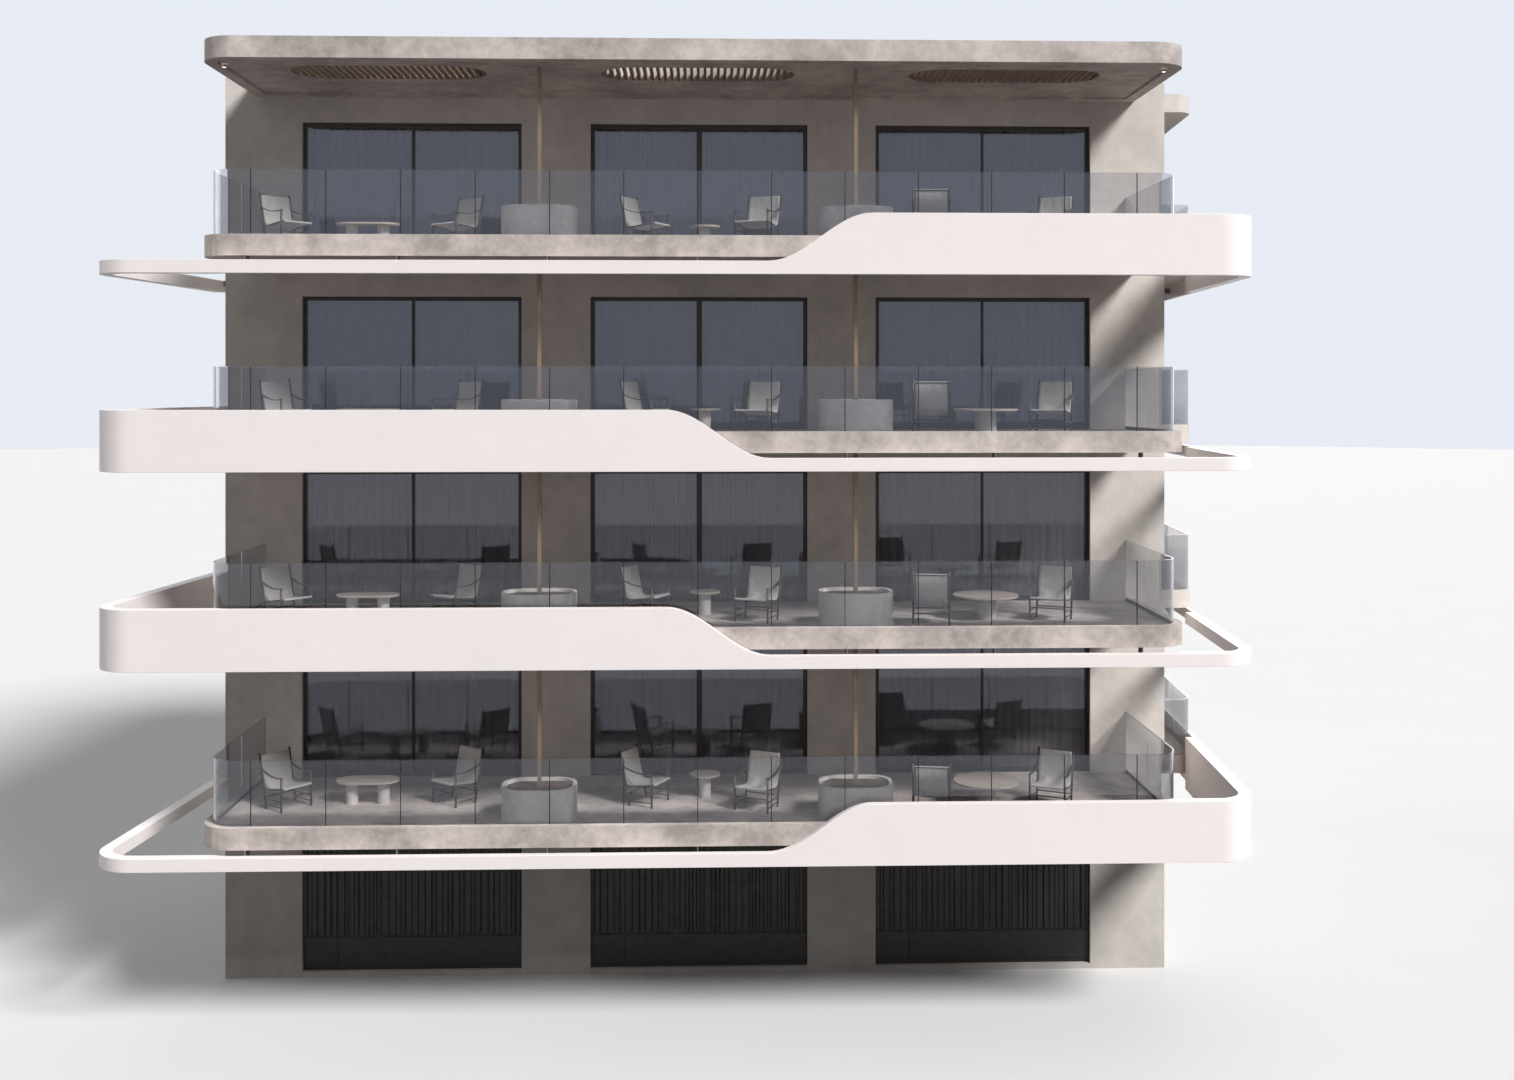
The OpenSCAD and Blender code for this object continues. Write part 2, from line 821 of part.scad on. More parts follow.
// One sling runs over the seat and up the back
module chair_slings() {
    fold_z = seat_h - seat_fall * chair_d;
    color("gainsboro") on_plot()
        at_chairs()
            across(bar_t, chair_w - 2 * bar_t)
                polygon([[-chair_d / 2, seat_h], [-chair_d / 2, seat_h - sling_t],
                         [back_y(fold_z), fold_z - sling_t], [back_y(chair_h), chair_h],
                         [back_y(chair_h) - sling_t, chair_h], [back_y(fold_z) - sling_t, fold_z]]);
}

// Round outline stretched sideways between two ends
module oblong(width, depth) {
    reach = (width - depth) / 2;
    translate([-reach, -depth / 2]) square([2 * reach, depth]);
    for (side = [-1, 1])
        translate([side * reach, 0]) circle(depth / 2, $fn = 64);
}

module at_storeys_from(z) {
    for (n = [1 : storeys])
        translate([0, 0, floor_z(n) + z]) children();
}

module table_tops() {
    color("white") on_plot()
        at_storeys_from(table_h - top_t)
            linear_extrude(top_t) {
                translate(low_table_at) oblong(low_table_w, small_table_d);
                translate(small_table_at) circle(small_table_d / 2, $fn = 64);
                translate(table_at) circle(table_d / 2, $fn = 96);
            }
}

module table_drums() {
    color("silver") on_plot()
        at_storeys_from(0)
            linear_extrude(table_h - top_t) {
                for (side = [-1, 1])
                    translate([low_table_at[0] + side * low_table_w / 4, low_table_at[1]])
                        circle(small_drum_d / 2, $fn = 48);
                translate(small_table_at) circle(small_drum_d / 2, $fn = 48);
                translate(table_at) circle(drum_d / 2, $fn = 64);
            }
}

ground_slab();
ground_front_piers();
front_piers();
front_lintels();
left_wall();
right_wall();
right_wall_spandrels();
rear_piers();
rear_bands();
garage_doors();
garage_side_panels();
floor_slab(1);  // floor_slab_1
floor_slab(2);  // floor_slab_2
floor_slab(3);  // floor_slab_3
floor_slab(4);  // floor_slab_4
roof_canopy();
canopy_slats();
ribbon(1, rise_x, true);  // ribbon_1
ribbon(2, fall_x, false);  // ribbon_2
ribbon(3, fall_x, false);  // ribbon_3
ribbon(4, rise_x, true);  // ribbon_4
ribbon_brackets();
balustrade(1);  // balustrade_1
balustrade(2);  // balustrade_2
balustrade(3);  // balustrade_3
balustrade(4);  // balustrade_4
window_frames(1);  // window_frames_1
window_frames(2);  // window_frames_2
window_frames(3);  // window_frames_3
window_frames(4);  // window_frames_4
window_glass();
rear_window_frames();
rear_window_glass();
side_balconies();
side_balustrades();
side_door_frames();
side_door_glass();
planters();
divider_posts();
curtains();
curtain_rails();
chair_frames();
chair_slings();
table_tops();
table_drums();
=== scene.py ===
"""Looks of the apartment block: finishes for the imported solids, and the pieces that only the render shows."""

import json
import logging
import math
import random
from collections.abc import Callable, Iterable, Sequence
from dataclasses import dataclass, field
from enum import Enum
from functools import cache

import bpy
from mathutils import Matrix, Vector, noise

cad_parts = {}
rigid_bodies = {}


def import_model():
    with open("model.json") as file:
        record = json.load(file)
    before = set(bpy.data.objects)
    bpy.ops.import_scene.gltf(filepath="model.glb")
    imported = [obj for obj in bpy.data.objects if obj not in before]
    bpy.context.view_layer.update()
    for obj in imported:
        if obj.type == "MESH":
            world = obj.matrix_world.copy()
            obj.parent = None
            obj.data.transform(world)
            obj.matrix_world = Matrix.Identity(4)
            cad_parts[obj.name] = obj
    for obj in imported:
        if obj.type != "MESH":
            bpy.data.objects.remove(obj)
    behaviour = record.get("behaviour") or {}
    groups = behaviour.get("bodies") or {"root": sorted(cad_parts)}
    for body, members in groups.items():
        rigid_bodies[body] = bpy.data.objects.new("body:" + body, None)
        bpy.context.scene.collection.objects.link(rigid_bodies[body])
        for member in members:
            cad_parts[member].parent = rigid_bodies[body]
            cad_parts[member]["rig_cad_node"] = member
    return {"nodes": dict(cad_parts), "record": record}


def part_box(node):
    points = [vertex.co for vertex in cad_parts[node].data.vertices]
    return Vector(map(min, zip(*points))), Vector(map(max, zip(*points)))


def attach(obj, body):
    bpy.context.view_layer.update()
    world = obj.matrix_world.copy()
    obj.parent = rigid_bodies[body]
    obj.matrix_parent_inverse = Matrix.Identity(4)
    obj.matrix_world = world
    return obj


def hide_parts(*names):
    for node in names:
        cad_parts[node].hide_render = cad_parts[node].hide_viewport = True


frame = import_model()

log = logging.getLogger("scene")
Socket = bpy.types.NodeSocket
Piece = bpy.types.Object
Colour = tuple[float, float, float]
Value = Socket | float | Colour
Inputs = dict[str | int, Value]
Pairs = tuple[tuple[float, float], ...]


class Slot(str, Enum):
    """Material slots of the record."""

    CONCRETE = "concrete"
    PLASTER = "plaster"
    WHITE_BAND = "white_band"
    TUB_STONE = "tub_stone"
    DARK_METAL = "dark_metal"
    DOOR_METAL = "door_metal"
    POST_METAL = "post_metal"
    BRACKET_STEEL = "bracket_steel"
    TINTED_GLASS = "tinted_glass"
    WINDOW_GLASS = "window_glass"
    SLAT_WOOD = "slat_wood"
    CURTAIN_CLOTH = "curtain_cloth"
    RAIL_ALUMINIUM = "rail_aluminium"
    CHAIR_METAL = "chair_metal"
    SLING_CLOTH = "sling_cloth"
    TABLE_STONE = "table_stone"


@dataclass(frozen=True)
class Plan:
    """Main sizes of the block, repeated from the part's source, in metres."""

    storeys: int = 4
    front_y: float = -6.0
    first_rim: float = 3.6
    storey_h: float = 3.1
    slab_t: float = 0.34
    rim_h: float = 0.06
    bay_pitch: float = 5.115
    bay_w: float = 3.89
    reveal_d: float = 0.09
    balcony_d: float = 3.32
    roof_z: float = 15.66

    def rim_z(self, n: int) -> float:
        """Returns the height of a storey's balcony rim, where n is 1 on the first balcony."""
        return self.first_rim + (n - 1) * self.storey_h

    def floor_z(self, n: int) -> float:
        """Returns the height of a storey's floor."""
        return self.rim_z(n) - self.rim_h

    def ceiling_z(self, n: int) -> float:
        """Returns the height of a storey's ceiling."""
        return self.rim_z(n + 1) - self.slab_t

    def floors(self) -> list[float]:
        """Returns the floor heights of the storeys that have balconies."""
        return [self.floor_z(n) for n in range(1, self.storeys + 1)]

    def bays(self) -> list[float]:
        """Returns the middles of the three bays along X."""
        return [bay * self.bay_pitch for bay in (-1, 0, 1)]


PLAN = Plan()


def srgb(red: int, green: int, blue: int) -> Colour:
    """Turns a display colour into the linear colour that shaders take.

    Args:
        red, green, blue: The display colour, from 0 to 255 each.

    Returns:
        The linear colour, from 0 to 1 each.
    """
    values = (v / 255 for v in (red, green, blue))
    return tuple(v / 12.92 if v <= 0.04045 else ((v + 0.055) / 1.055) ** 2.4 for v in values)


def shade(colour: Colour, factor: float, most: float = 0.95) -> Colour:
    """Returns a colour made lighter or darker by a factor, with no channel over the most."""
    return tuple(min(most, v * factor) for v in colour)


def turns(count: int) -> list[float]:
    """Returns evenly spaced angles round a full turn."""
    return [2 * math.pi * i / count for i in range(count)]


def linked(name: str, data: bpy.types.ID) -> Piece:
    """Returns a new object in the scene that shows a mesh, a lamp or a camera."""
    obj = bpy.data.objects.new(name, data)
    bpy.context.scene.collection.objects.link(obj)
    return obj


class Nodes:
    """Adds nodes to a node tree and joins them."""

    def __init__(self, tree: bpy.types.NodeTree) -> None:
        """Keeps the tree that the nodes go into."""
        self.tree = tree

    def feed(self, target: Socket, value: Value) -> None:
        """Links a socket to a target, or sets the target's own value, where a colour gets its alpha."""
        if isinstance(value, bpy.types.NodeSocket):
            self.tree.links.new(value, target)
        elif isinstance(value, tuple) and len(value) == 3 and len(target.default_value) == 4:
            target.default_value = (*value, 1.0)
        else:
            target.default_value = value

    def add(self, kind: str, inputs: Inputs | None = None, **settings: object) -> bpy.types.Node:
        """Adds a node of a kind, makes its settings, and then feeds its inputs by their names or numbers."""
        node = self.tree.nodes.new(kind)
        for key, setting in settings.items():
            setattr(node, key, setting)
        for key, value in (inputs or {}).items():
            self.feed(node.inputs[key], value)
        return node

    def looked_at(self) -> Socket:
        """Returns 1 for rays that see a surface, also in a mirror or through glass, and 0 for lighting."""
        rays = self.add("ShaderNodeLightPath").outputs
        total = rays["Is Camera Ray"]
        for extra in ("Is Glossy Ray", "Is Transmission Ray"):
            both = {0: total, 1: rays[extra]}
            total = self.add("ShaderNodeMath", both, operation="ADD", use_clamp=True).outputs[0]
        return total


class Surface(Nodes):
    """Node tree of one material, round a Principled shader."""

    def __init__(self, name: str) -> None:
        """Makes a material that has its shader alone."""
        self.material = bpy.data.materials.new(name)
        self.material.use_nodes = True
        super().__init__(self.material.node_tree)
        self.tree.nodes.clear()
        self.shader = self.add("ShaderNodeBsdfPrincipled")
        self.add("ShaderNodeOutputMaterial", {"Surface": self.shader.outputs[0]})
        self.coords = self.add("ShaderNodeTexCoord").outputs["Object"]

    def set(self, **values: object) -> None:
        """Feeds sockets of the shader, whose names are given with underscores for spaces."""
        for key, value in values.items():
            self.feed(self.shader.inputs[key.replace("_", " ")], value)

    def stretched(self, scale: tuple[float, float, float]) -> Socket:
        """Returns object coordinates scaled along each axis."""
        return self.add("ShaderNodeMapping", {"Vector": self.coords, "Scale": scale}).outputs[0]

    def noise(self, scale: float, detail: float = 3.0, rough: float = 0.55,
              at: Socket | None = None) -> Socket:
        """Returns noise from 0 to 1, at a scale per metre and with layers of finer noise over it."""
        inputs = {"Vector": at or self.coords, "Scale": scale, "Detail": detail, "Roughness": rough}
        return self.add("ShaderNodeTexNoise", inputs).outputs["Fac"]

    def cells(self, scale: float) -> Socket:
        """Returns the distance to the nearest cell centre at a scale per metre."""
        return self.add("ShaderNodeTexVoronoi", {"Vector": self.coords, "Scale": scale}).outputs["Distance"]

    def span(self, value: Socket, low: float, high: float, start: float = 0.0, end: float = 1.0) -> Socket:
        """Returns a value mapped from the range low to high onto start to end, and clamped."""
        inputs = {"Value": value, "From Min": low, "From Max": high, "To Min": start, "To Max": end}
        return self.add("ShaderNodeMapRange", inputs).outputs["Result"]

    def math(self, operation: str, a: Value, b: Value) -> Socket:
        """Returns the result of a Math node."""
        return self.add("ShaderNodeMath", {0: a, 1: b}, operation=operation).outputs[0]

    def mix(self, factor: Value, a: Value, b: Value) -> Socket:
        """Returns a blend of two colours."""
        node = self.add("ShaderNodeMix", {"Factor": factor, "A": a, "B": b}, data_type="RGBA")
        return next(s for s in node.outputs if s.type == "RGBA")

    def veiled(self, colour: Value, mask: Socket, share: float, tone: Colour) -> Socket:
        """Returns a colour that takes on a share of a tone where a mask is 1."""
        return self.mix(self.math("MULTIPLY", mask, share), colour, tone)

    def bump(self, height: Socket, strength: float, distance: float, below: Socket | None = None) -> Socket:
        """Returns a normal bumped by a distance in metres, over an earlier one if given."""
        node = self.add("ShaderNodeBump", {"Height": height, "Strength": strength, "Distance": distance})
        if below is not None:
            self.feed(node.inputs["Normal"], below)
        return node.outputs[0]


@dataclass(frozen=True)
class Finish:
    """A finish that a surface can have."""

    name: str
    tone: Colour
    roughness: float

    def build(self) -> bpy.types.Material:
        """Makes the material and returns it."""
        tree = Surface(self.name)
        tree.set(Base_Color=self.tone, Roughness=self.roughness)
        self.paint(tree)
        tree.material.diffuse_color = (*self.tone, 1.0)
        return tree.material

    def paint(self, tree: Surface) -> None:
        """Adds what makes this finish more than one flat colour."""
        raise NotImplementedError


@dataclass(frozen=True)
class Cast(Finish):
    """Concrete, plaster or stone with clouds, specks and pores.

    Attributes:
        clouds: Share by which the tone drifts from place to place.
        cloud_scale: Clouds for each metre.
        specks: Share by which fine specks differ.
        pores: Depth of the pores and ripples, in metres.
        streaks: Share by which faint vertical streaks darken a wall.
        wall: Finish behind the front wall's face, for slabs whose edges are plastered there.
    """

    clouds: float = 0.1
    cloud_scale: float = 0.9
    specks: float = 0.05
    pores: float = 0.0012
    streaks: float = 0.0
    wall: "Cast | None" = None

    SPECKS_PER_METRE = 140
    RIPPLES_PER_METRE = 24
    PORES_PER_METRE = 70
    STREAKS_PER_METRE = (5.0, 5.0, 0.35)
    WALL_START = PLAN.front_y - 0.002

    def patches(self, tree: Surface) -> Socket:
        """Returns the noise of the smaller clouds, which the sheen follows too."""
        return tree.noise(self.cloud_scale * 4.3, 6.0, 0.7)

    def tint(self, tree: Surface) -> Socket:
        """Returns the tone with its clouds, specks and streaks."""
        wide = tree.math("MULTIPLY", tree.noise(self.cloud_scale, 4.0, 0.6), 0.6)
        drift = tree.math("ADD", wide, tree.math("MULTIPLY", self.patches(tree), 0.4))
        dark, pale = shade(self.tone, 1 - self.clouds), shade(self.tone, 1 + self.clouds * 0.7)
        colour = tree.mix(tree.span(drift, 0.39, 0.62), dark, pale)
        speck = tree.span(tree.noise(self.SPECKS_PER_METRE, 2.0), 0.3, 0.7)
        value = tree.math("ADD", tree.math("MULTIPLY", speck, self.specks), 1 - self.specks / 2)
        colour = tree.add("ShaderNodeHueSaturation", {"Color": colour, "Value": value}).outputs[0]
        if self.streaks:
            runs = tree.noise(1.0, 5.0, 0.6, tree.stretched(self.STREAKS_PER_METRE))
            colour = tree.veiled(colour, tree.span(runs, 0.5, 0.78), self.streaks, shade(self.tone, 0.62))
        return colour

    def paint(self, tree: Surface) -> None:
        """Adds clouds, specks and streaks, then ripples and pores."""
        colour = self.tint(tree)
        if self.wall is not None:
            place = tree.add("ShaderNodeSeparateXYZ", {0: tree.coords})
            behind = tree.math("GREATER_THAN", place.outputs["Y"], self.WALL_START)
            colour = tree.mix(behind, colour, self.wall.tint(tree))
        normal = tree.bump(tree.noise(self.RIPPLES_PER_METRE, 5.0, 0.65), 0.35, self.pores)
        pore = tree.span(tree.cells(self.PORES_PER_METRE), 0.02, 0.14)
        normal = tree.bump(pore, 0.25, self.pores * 0.7, normal)
        matt, satin = min(1.0, self.roughness + 0.06), self.roughness - 0.08
        rough = tree.span(self.patches(tree), 0.3, 0.7, satin, matt)
        tree.set(Base_Color=colour, Normal=normal, Roughness=rough, Specular_IOR_Level=0.35)


@dataclass(frozen=True)
class Coated(Finish):
    """Metal with a satin coating.

    Attributes:
        metallic: Share of metal in the shader.
        grain: Depth of the coating's orange-peel, in metres.
    """

    metallic: float = 0.5
    grain: float = 0.0002

    def paint(self, tree: Surface) -> None:
        """Adds a drifting sheen, faint dust and a fine grain."""
        dust = tree.span(tree.noise(2.2, 5.0, 0.65), 0.45, 0.75)
        colour = tree.veiled(self.tone, dust, 0.3, shade(self.tone, 1.9))
        sheen = tree.span(tree.noise(9, 3.0), 0.3, 0.7, self.roughness - 0.07, self.roughness + 0.09)
        peel = tree.bump(tree.noise(420, 2.0), 0.3, self.grain)
        tree.set(Base_Color=colour, Roughness=sheen, Normal=peel, Metallic=self.metallic)


@dataclass(frozen=True)
class Lens(Finish):
    """Frosted lens of a lamp that is switched on.

    Attributes:
        glow: Strength of its own light.
        frost: Depth of the frosting, in metres.
    """

    glow: float = 2.0
    frost: float = 0.0003

    def paint(self, tree: Surface) -> None:
        """Adds a frosted grain and a soft glow."""
        frosted = tree.bump(tree.noise(300, 2.0), 0.2, self.frost)
        tree.set(Normal=frosted, Emission_Color=self.tone, Emission_Strength=self.glow)


@dataclass(frozen=True)
class Glazing(Finish):
    """Clear glass with a tint.

    Attributes:
        ior: Refractive index, higher for coated glass that mirrors more.
        mirror: Tint of what the sheet mirrors, as from a coating.
        ripple: Depth of the waves in the sheet, in metres.
    """

    ior: float
    mirror: Colour
    ripple: float = 0.004

    def paint(self, tree: Surface) -> None:
        """Adds a slow ripple and faint wiping marks."""
        marks = tree.span(tree.noise(3.2, 6.0, 0.7, tree.stretched((1.0, 1.0, 2.4))), 0.5, 0.85)
        rough = tree.math("ADD", tree.math("MULTIPLY", marks, 0.03), self.roughness)
        tree.set(Roughness=rough, IOR=self.ior, Transmission_Weight=1.0, Specular_Tint=self.mirror,
                 Normal=tree.bump(tree.noise(0.6, 1.0), 0.05, self.ripple))


@dataclass(frozen=True)
class Timber(Finish):
    """Oiled wood with grain along the slats."""

    ALONG_GRAIN = (60.0, 2.5, 60.0)
    SLAT_BY_SLAT = (1.0, 0.02, 0.02)

    def paint(self, tree: Surface) -> None:
        """Adds grain that runs from front to back, and a tone for each slat."""
        grain = tree.noise(1.0, 6.0, 0.7, tree.stretched(self.ALONG_GRAIN))
        slat = tree.noise(9.0, 0.0, 0.5, tree.stretched(self.SLAT_BY_SLAT))
        colour = tree.mix(tree.span(grain, 0.35, 0.7), shade(self.tone, 1.08), shade(self.tone, 0.72))
        colour = tree.veiled(colour, slat, 0.35, shade(self.tone, 0.6))
        tree.set(Base_Color=colour, Normal=tree.bump(grain, 0.3, 0.0006))


@dataclass(frozen=True)
class Woven(Finish):
    """Cloth with a plain weave.

    Attributes:
        threads: Threads for each metre.
        sheen: Weight of the cloth's sheen.
        lets_through: Share of light that passes, as through a light curtain.
    """

    threads: float
    sheen: float = 0.25
    lets_through: float = 0.0

    def paint(self, tree: Surface) -> None:
        """Adds two crossing sets of threads and a slow drift of tone."""
        inputs = {"Vector": tree.coords, "Scale": self.threads / 20, "Distortion": 0.6}
        sets = [tree.add("ShaderNodeTexWave", inputs, bands_direction=way).outputs["Fac"] for way in "XZ"]
        weave = tree.math("MULTIPLY", *sets)
        drift = tree.span(tree.noise(1.7, 4.0), 0.3, 0.7)
        colour = tree.veiled(self.tone, weave, 0.3, shade(self.tone, 0.8))
        colour = tree.veiled(colour, drift, 0.2, shade(self.tone, 0.85))
        tree.set(Base_Color=colour, Normal=tree.bump(weave, 0.35, 0.0005), Sheen_Weight=self.sheen,
                 Transmission_Weight=self.lets_through)


@dataclass(frozen=True)
class Earth(Finish):
    """Bare planting soil with crumbs."""

    GRIT = (0.32, 0.29, 0.25)

    def paint(self, tree: Surface) -> None:
        """Adds crumbs, damp patches and pale grit."""
        crumbs = tree.noise(60, 6.0, 0.75)
        damp = tree.span(tree.noise(3.0, 4.0), 0.35, 0.7)
        grit = tree.span(tree.cells(48), 0.1, 0.16, 1.0, 0.0)
        colour = tree.mix(tree.span(crumbs, 0.3, 0.72), shade(self.tone, 0.5), shade(self.tone, 1.5))
        colour = tree.veiled(colour, damp, 0.5, shade(self.tone, 0.6))
        colour = tree.veiled(colour, grit, 0.5, self.GRIT)
        tree.set(Base_Color=colour, Normal=tree.bump(crumbs, 0.8, 0.012))


@dataclass(frozen=True)
class Ground(Finish):
    """Stage floor that is pale to the eye and throws little light back onto the block.

    Attributes:
        thrown: Share of its tone that it throws back.
    """

    thrown: float

    def paint(self, tree: Surface) -> None:
        """Adds a faint drift, and a darker tone for light that bounces."""
        drift = tree.span(tree.noise(0.3, 3.0), 0.3, 0.7)
        seen = tree.veiled(self.tone, drift, 0.3, shade(self.tone, 0.95))
        colour = tree.mix(tree.looked_at(), shade(self.tone, self.thrown), seen)
        tree.set(Base_Color=colour, Specular_IOR_Level=0.1)


WALLS = Cast("fine_plaster", srgb(212, 204, 197), 0.88, clouds=0.12, specks=0.07, streaks=0.14)
FINISHES: dict[Slot, Finish] = {
    Slot.CONCRETE: Cast("cast_concrete", srgb(193, 182, 176), 0.72, clouds=0.34, cloud_scale=1.1, specks=0.08,
                        wall=WALLS),
    Slot.PLASTER: WALLS,
    Slot.WHITE_BAND: Cast("band_coating", srgb(246, 237, 235), 0.42, clouds=0.018, specks=0.015,
                          pores=0.0003),
    Slot.TUB_STONE: Cast("tub_stone", srgb(198, 192, 186), 0.7, clouds=0.16, cloud_scale=2.4, specks=0.1),
    Slot.TABLE_STONE: Cast("table_stone", srgb(178, 166, 154), 0.42, cloud_scale=3.5, specks=0.12,
                           pores=0.0004),
    Slot.DARK_METAL: Coated("dark_bronze", srgb(52, 45, 40), 0.42, metallic=0.45),
    Slot.DOOR_METAL: Coated("door_coating", srgb(25, 21, 17), 0.58, metallic=0.15),
    Slot.POST_METAL: Coated("tan_bronze", srgb(128, 110, 94), 0.5, metallic=0.35),
    Slot.BRACKET_STEEL: Coated("bracket_coating", srgb(112, 109, 107), 0.5, metallic=0.4),
    Slot.CHAIR_METAL: Coated("chair_bronze", srgb(60, 46, 38), 0.42, metallic=0.15),
    Slot.RAIL_ALUMINIUM: Coated("rail_coating", srgb(214, 214, 212), 0.4, metallic=0.3),
    Slot.TINTED_GLASS: Glazing("tinted_glass", srgb(216, 217, 220), 0.01, ior=1.56, mirror=(0.84, 0.89, 1.0)),
    Slot.WINDOW_GLASS: Glazing("window_glass", srgb(178, 178, 186), 0.01, ior=1.75, mirror=(0.84, 0.88, 1.0)),
    Slot.SLAT_WOOD: Timber("slat_wood", srgb(134, 112, 96), 0.6),
    Slot.CURTAIN_CLOTH: Woven("curtain_cloth", srgb(226, 220, 210), 0.85, threads=500, sheen=0.15,
                              lets_through=0.25),
    Slot.SLING_CLOTH: Woven("sling_cloth", srgb(172, 167, 162), 0.8, threads=350),
}
SOIL = Earth("planting_soil", srgb(92, 74, 58), 0.95)
SEAL = Coated("rubber_seal", srgb(13, 12, 12), 0.75, metallic=0.0)
LENS = Lens("frosted_lens", srgb(255, 250, 240), 0.5)


@cache
def material(finish: Finish) -> bpy.types.Material:
    """Returns the material of a finish, made on first use."""
    return finish.build()


@dataclass
class Draft:
    """Vertices and faces that are gathered into one mesh."""

    verts: list[Vector] = field(default_factory=list)
    faces: list[tuple[int, ...]] = field(default_factory=list)

    BOX_FACES = ((3, 2, 1, 0), (4, 5, 6, 7), (0, 1, 5, 4), (1, 2, 6, 5), (2, 3, 7, 6), (3, 0, 4, 7))

    def add(self, verts: Iterable[Sequence[float]], faces: Iterable[Sequence[int]]) -> None:
        """Adds vertices, and faces that index into them."""
        start = len(self.verts)
        self.verts.extend(Vector(v) for v in verts)
        self.faces.extend(tuple(start + i for i in f) for f in faces)

    def box(self, low: Sequence[float], high: Sequence[float]) -> None:
        """Adds a block between two corners."""
        (x0, y0, z0), (x1, y1, z1) = low, high
        plan = ((x0, y0), (x1, y0), (x1, y1), (x0, y1))
        self.add([(x, y, z) for z in (z0, z1) for x, y in plan], self.BOX_FACES)

    def grid(self, rows: Sequence[Sequence[Sequence[float]]], closed: bool = False,
             keep: Callable[[int, int], bool] | None = None) -> None:
        """Adds a sheet of faces over rows of points.

        Args:
            rows: The points, row by row.
            closed: Whether each row closes into a ring.
            keep: Whether the face after a row and column is made. Without it all are.
        """
        wide = len(rows[0])
        steps = [(c, (c + 1) % wide) for c in range(wide if closed else wide - 1)]
        faces = [(r * wide + a, r * wide + b, (r + 1) * wide + b, (r + 1) * wide + a)
                 for r in range(len(rows) - 1) for a, b in steps if keep is None or keep(r, a)]
        self.add([p for row in rows for p in row], faces)

    def tube(self, path: Sequence[Vector], radius: float, sides: int = 8) -> None:
        """Adds a round bar that follows a path, with closed ends.

        Args:
            path: Points of the bar's middle line.
            radius: Radius of the bar in metres.
            sides: Number of sides round the bar.
        """
        rings, side = [], None
        for i, point in enumerate(path):
            ahead = path[min(i + 1, len(path) - 1)] - path[max(i - 1, 0)]
            ahead.normalize()
            if side is None:
                side = ahead.orthogonal().normalized()
            side = (side - ahead * side.dot(ahead)).normalized()
            up = ahead.cross(side)
            rings.append([point + (side * math.cos(a) + up * math.sin(a)) * radius for a in turns(sides)])
        start = len(self.verts)
        self.grid(rings, closed=True)
        last = start + sides * (len(rings) - 1)
        self.faces.append(tuple(start + k for k in reversed(range(sides))))
        self.faces.append(tuple(last + k for k in range(sides)))

    def placed(self, matrix: Matrix) -> "Draft":
        """Returns a copy moved by a matrix."""
        return Draft([matrix @ v for v in self.verts], list(self.faces))

    def mesh(self, name: str) -> bpy.types.Mesh:
        """Returns a new mesh of what was gathered."""
        mesh = bpy.data.meshes.new(name)
        mesh.from_pydata([tuple(v) for v in self.verts], [], self.faces)
        mesh.validate()
        return mesh

    def piece(self, name: str, slot: Slot, smooth: bool = False, finish: Finish | None = None) -> Piece:
        """Makes the mesh and lets it ride on the block.

        Args:
            name: Name of the piece.
            slot: The record's slot that it takes its finish from.
            smooth: Whether its faces are shaded smooth.
            finish: A finish in place of the slot's own.

        Returns:
            The new piece.
        """
        mesh = self.mesh(name)
        mesh.materials.append(material(finish or FINISHES[slot]))
        mesh.polygons.foreach_set("use_smooth", [smooth] * len(mesh.polygons))
        obj = linked(name, mesh)
        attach(obj, "root")
        return obj


def rounded(points: Sequence[Vector], radius: float, steps: int = 5) -> list[Vector]:
    """Bends the inner corners of a path along arcs.

    Args:
        points: Corners of the path.
        radius: Distance from a corner at which its bend starts.
        steps: Number of pieces in a bend.

    Returns:
        The bent path.
    """
    path = [points[0]]
    for before, corner, after in zip(points, points[1:], points[2:]):
        start = corner + (before - corner).normalized() * radius
        end = corner + (after - corner).normalized() * radius
        for t in (i / steps for i in range(steps + 1)):
            path.append(start * (1 - t) ** 2 + corner * 2 * t * (1 - t) + end * t * t)
    path.append(points[-1])
    return path


